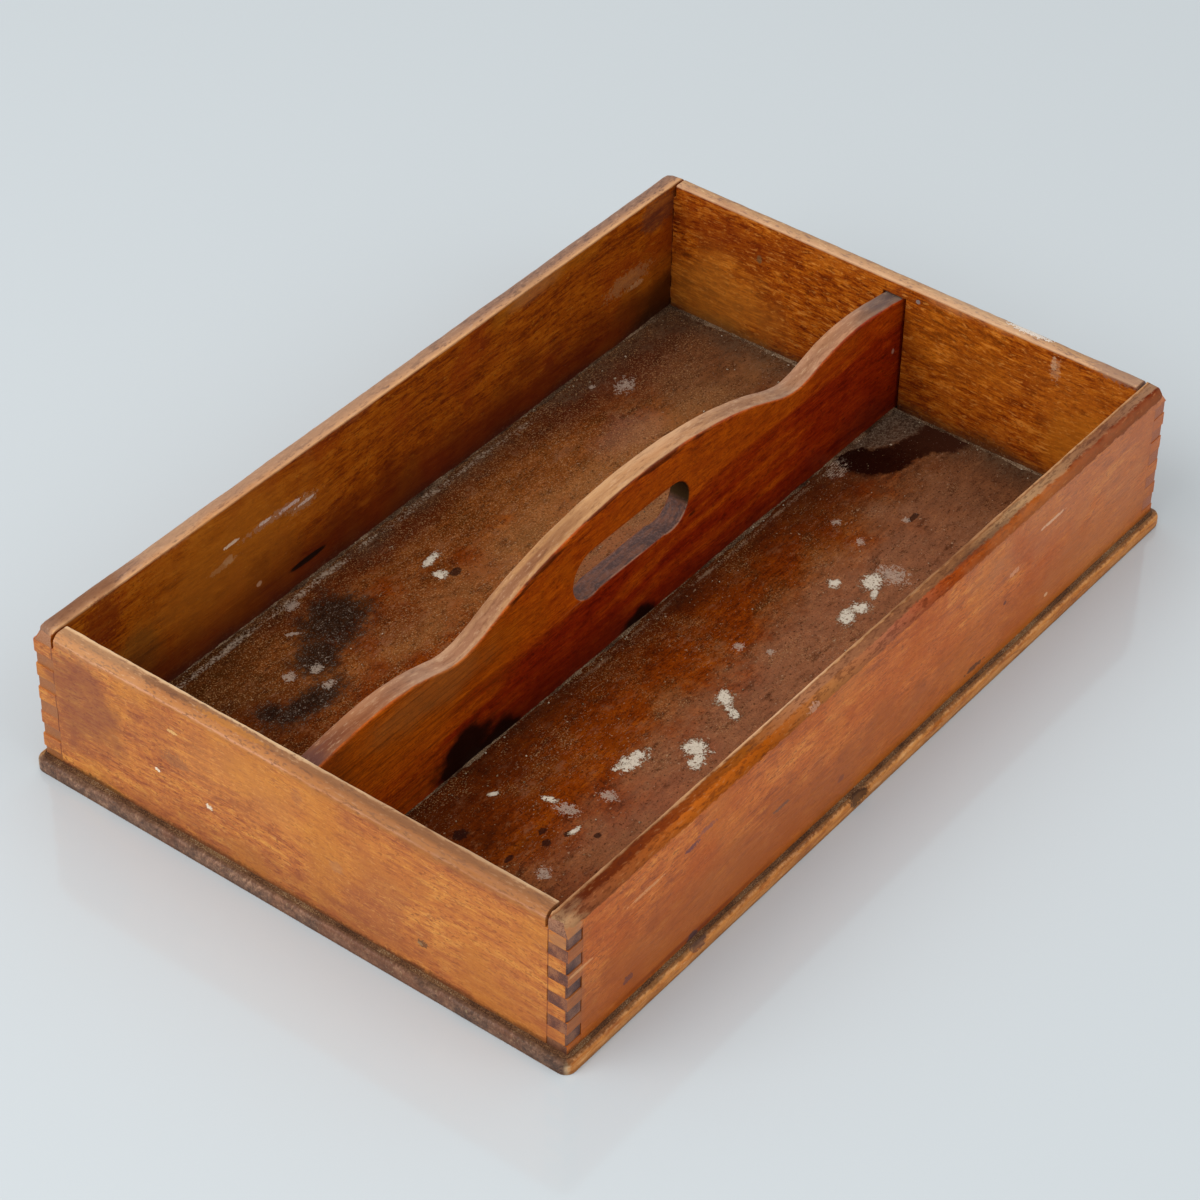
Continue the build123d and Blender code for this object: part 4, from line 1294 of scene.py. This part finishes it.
def makeCrumbs():
    # Grit, most of it near the walls
    grains = []
    rooms = [((-innerX, innerX), (-innerY, dividerLow.y)), ((-innerX, innerX), (dividerHigh.y, innerY))]
    for k in range(crumbs["count"]):
        (x0, x1), (y0, y1) = rooms[k % 2]
        x, y = random.uniform(x0, x1), random.uniform(y0, y1)
        if k % 3:  # drawn to one of the walls
            near = random.expovariate(1 / crumbs["spread"])
            if random.random() < crumbs["toLong"]:
                y = y1 - near if random.random() < crumbs["toBack"] else y0 + near
            else:
                x = x1 - near if random.random() < crumbs["toRight"] else x0 + near
        radius = random.uniform(*crumbs["size"])
        x = min(max(x, x0 + crumbs["clear"]), x1 - crumbs["clear"])
        y = min(max(y, y0 + crumbs["clear"]), y1 - crumbs["clear"])
        deselectAll()
        bpy.ops.mesh.primitive_ico_sphere_add(subdivisions=1, radius=radius,
                                              location=(x, y, floorZ + radius * 0.5))
        grain = bpy.context.object
        grain.scale = [random.uniform(*span) for span in crumbs["stretch"]]
        grain.rotation_euler = (0, 0, random.uniform(0, 3))
        grains.append(grain)
    for grain in grains:
        grain.select_set(True)
    bpy.context.view_layer.objects.active = grains[0]
    bpy.ops.object.join()
    bpy.ops.object.transform_apply(location=True, rotation=True, scale=True)
    grains[0].name = "crumbs"
    return grains[0]


print("boards")
random.seed(11)
fingerLow = backProud - 0.0006  # the least that the fingers stand out at the back
# by how much the fingers fall short at either end, or stand out
longBoards = {
    "front_side": makeLongBoard("front_wall", -1, {-1: (0.0, 0.0003), 1: (0.0001, 0.0005)}),
    "back_side": makeLongBoard("back_wall", 1, {-1: (0.0002, 0.0007), 1: (0.0, 0.0004)}),
}
shortBoards = {
    "left_end": makeShortBoard("left_wall", -1, {-1: (-0.0004, 0.0), 1: (fingerLow, backProud)}),
    "right_end": makeShortBoard("right_wall", 1, {-1: (-0.0003, 0.0), 1: (fingerLow, backProud)}),
}
longEnds, shortEnds = endGrainFinish("long"), endGrainFinish("short")
# the ends of the fingers show end grain
for node, board in longBoards.items():
    finishPiece(board, node, [wallFinish(board.name), longEnds])
    paintFaces(board, 1, lambda c, n: abs(n.x) > 0.6 and abs(c.x) > outerX - 0.0012)
for node, board in shortBoards.items():
    finishPiece(board, node, [wallFinish(board.name), shortEnds])
    paintFaces(board, 1, lambda c, n: abs(n.y) > 0.6 and abs(c.y) > outerY - 0.0008)

print("divider")
dividerBoard = makeDivider()
finishPiece(dividerBoard, "divider", [dividerFinish()])

print("base board")
basePanel = makeBase()
finishPiece(basePanel, "base_board", [noseFinish(), floorFinish(), undersideFinish()],
            softEdge=0)
paintFaces(basePanel, 1, lambda c, n: n.z > 0.9 and abs(c.x) < outerX - 0.003 and abs(c.y) < outerY - 0.003)
paintFaces(basePanel, 2, lambda c, n: n.z < -0.9)

print("dirt")
dust = dirtFinish("seam_dust", ["2e1a0e", "4c3422", "6c523c", "8c745a"], "b4a088")
grime = dirtFinish("ledge_grime", ["3c2618", "583824", "6c4a30", "80603f"], "a8947c")
ledgeX, ledgeY = outerX + dirt["ledge"], outerY + dirt["ledge"]
# the rectangle, the width, the heights at the outer and the inner border, how rough, round corners or not
rings = {
    "front_compartment_dust": ((-innerX, -innerY), (innerX, dividerLow.y),
                               0.0026, 0.0004, -0.0004, 0.0009, False, dust),
    "back_compartment_dust": ((-innerX, dividerHigh.y), (innerX, innerY),
                              0.0030, 0.0005, -0.0004, 0.0010, False, dust),
    "ledge_dirt": ((-ledgeX, -ledgeY), (ledgeX, ledgeY), 0.0016, -0.0003, 0.0005, 0.0006, True, grime),
}
for name, (*shape, finish) in rings.items():
    ring = makeDirtRing(name, *shape)
    finishPiece(ring, None, [finish], softEdge=0, smooth=60)
crumbDirt = dirtFinish("crumb_dirt", ["5c4836", "8c7658", "b8a488", "d8c8b0"], "e4dac8")
finishPiece(makeCrumbs(), None, [crumbDirt], softEdge=0, smooth=80)

nails = bpy.data.objects["base_nails"]
nails.data.materials.clear()
nails.data.materials.append(ironFinish())


# Stage, light and camera

stage = {
    "floor": (0.538, 0.574, 0.592, 1),
    "lens": 111.97,
    "camera": (-0.88287, -0.65176, 0.93761),
    "aim": (-0.01897, -0.00351, 0.03425),
    "roll": math.radians(1.21),
    "floorSize": 8,
    "floorShader": {"Roughness": 0.09, "IOR": 1.6},
    "sky": (0.95, 0.98, 1, 1),
    "skyStrength": 0.8,
    "lamps": {"key": ((-1.3, 0.5, 1.5), 24, 1.6), "fill": ((0.2, -1.6, 1.5), 8, 1.4)},  # place, power, size
}


def makeStage():
    deselectAll()
    bpy.ops.mesh.primitive_plane_add(size=stage["floorSize"])
    floor = bpy.context.object
    floor.name = "studio_floor"
    paint = bpy.data.materials.new("studio_floor")
    paint.use_nodes = True
    shader = paint.node_tree.nodes["Principled BSDF"]
    for socket, value in {"Base Color": stage["floor"], **stage["floorShader"]}.items():
        shader.inputs[socket].default_value = value
    floor.data.materials.append(paint)
    floor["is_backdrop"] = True

    world = bpy.data.worlds.new("studio")
    bpy.context.scene.world = world
    world.use_nodes = True
    sky = world.node_tree.nodes["Background"].inputs
    sky["Color"].default_value = stage["sky"]
    sky["Strength"].default_value = stage["skyStrength"]

    for name, (place, power, size) in stage["lamps"].items():
        lamp = bpy.data.lights.new(name, "AREA")
        lamp.energy = power
        lamp.size = size
        holder = bpy.data.objects.new(name, lamp)
        holder.location = place
        holder.rotation_euler = (-Vector(place)).to_track_quat("-Z", "Y").to_euler()
        bpy.context.scene.collection.objects.link(holder)


def makeCamera():
    camera = bpy.data.cameras.new("camera")
    camera.lens = stage["lens"]
    camera.sensor_width = 36
    camera.clip_start = 0.01
    holder = bpy.data.objects.new("camera", camera)
    place, aim = Vector(stage["camera"]), Vector(stage["aim"])
    turn = (aim - place).to_track_quat("-Z", "Y").to_matrix() @ Matrix.Rotation(stage["roll"], 3, "Z")
    holder.matrix_world = Matrix.Translation(place) @ turn.to_4x4()
    bpy.context.scene.collection.objects.link(holder)
    bpy.context.scene.camera = holder


makeStage()
makeCamera()
bpy.context.scene.view_settings.view_transform = "Standard"

[[list(corner) for corner in box] for box in (cadBox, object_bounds())]
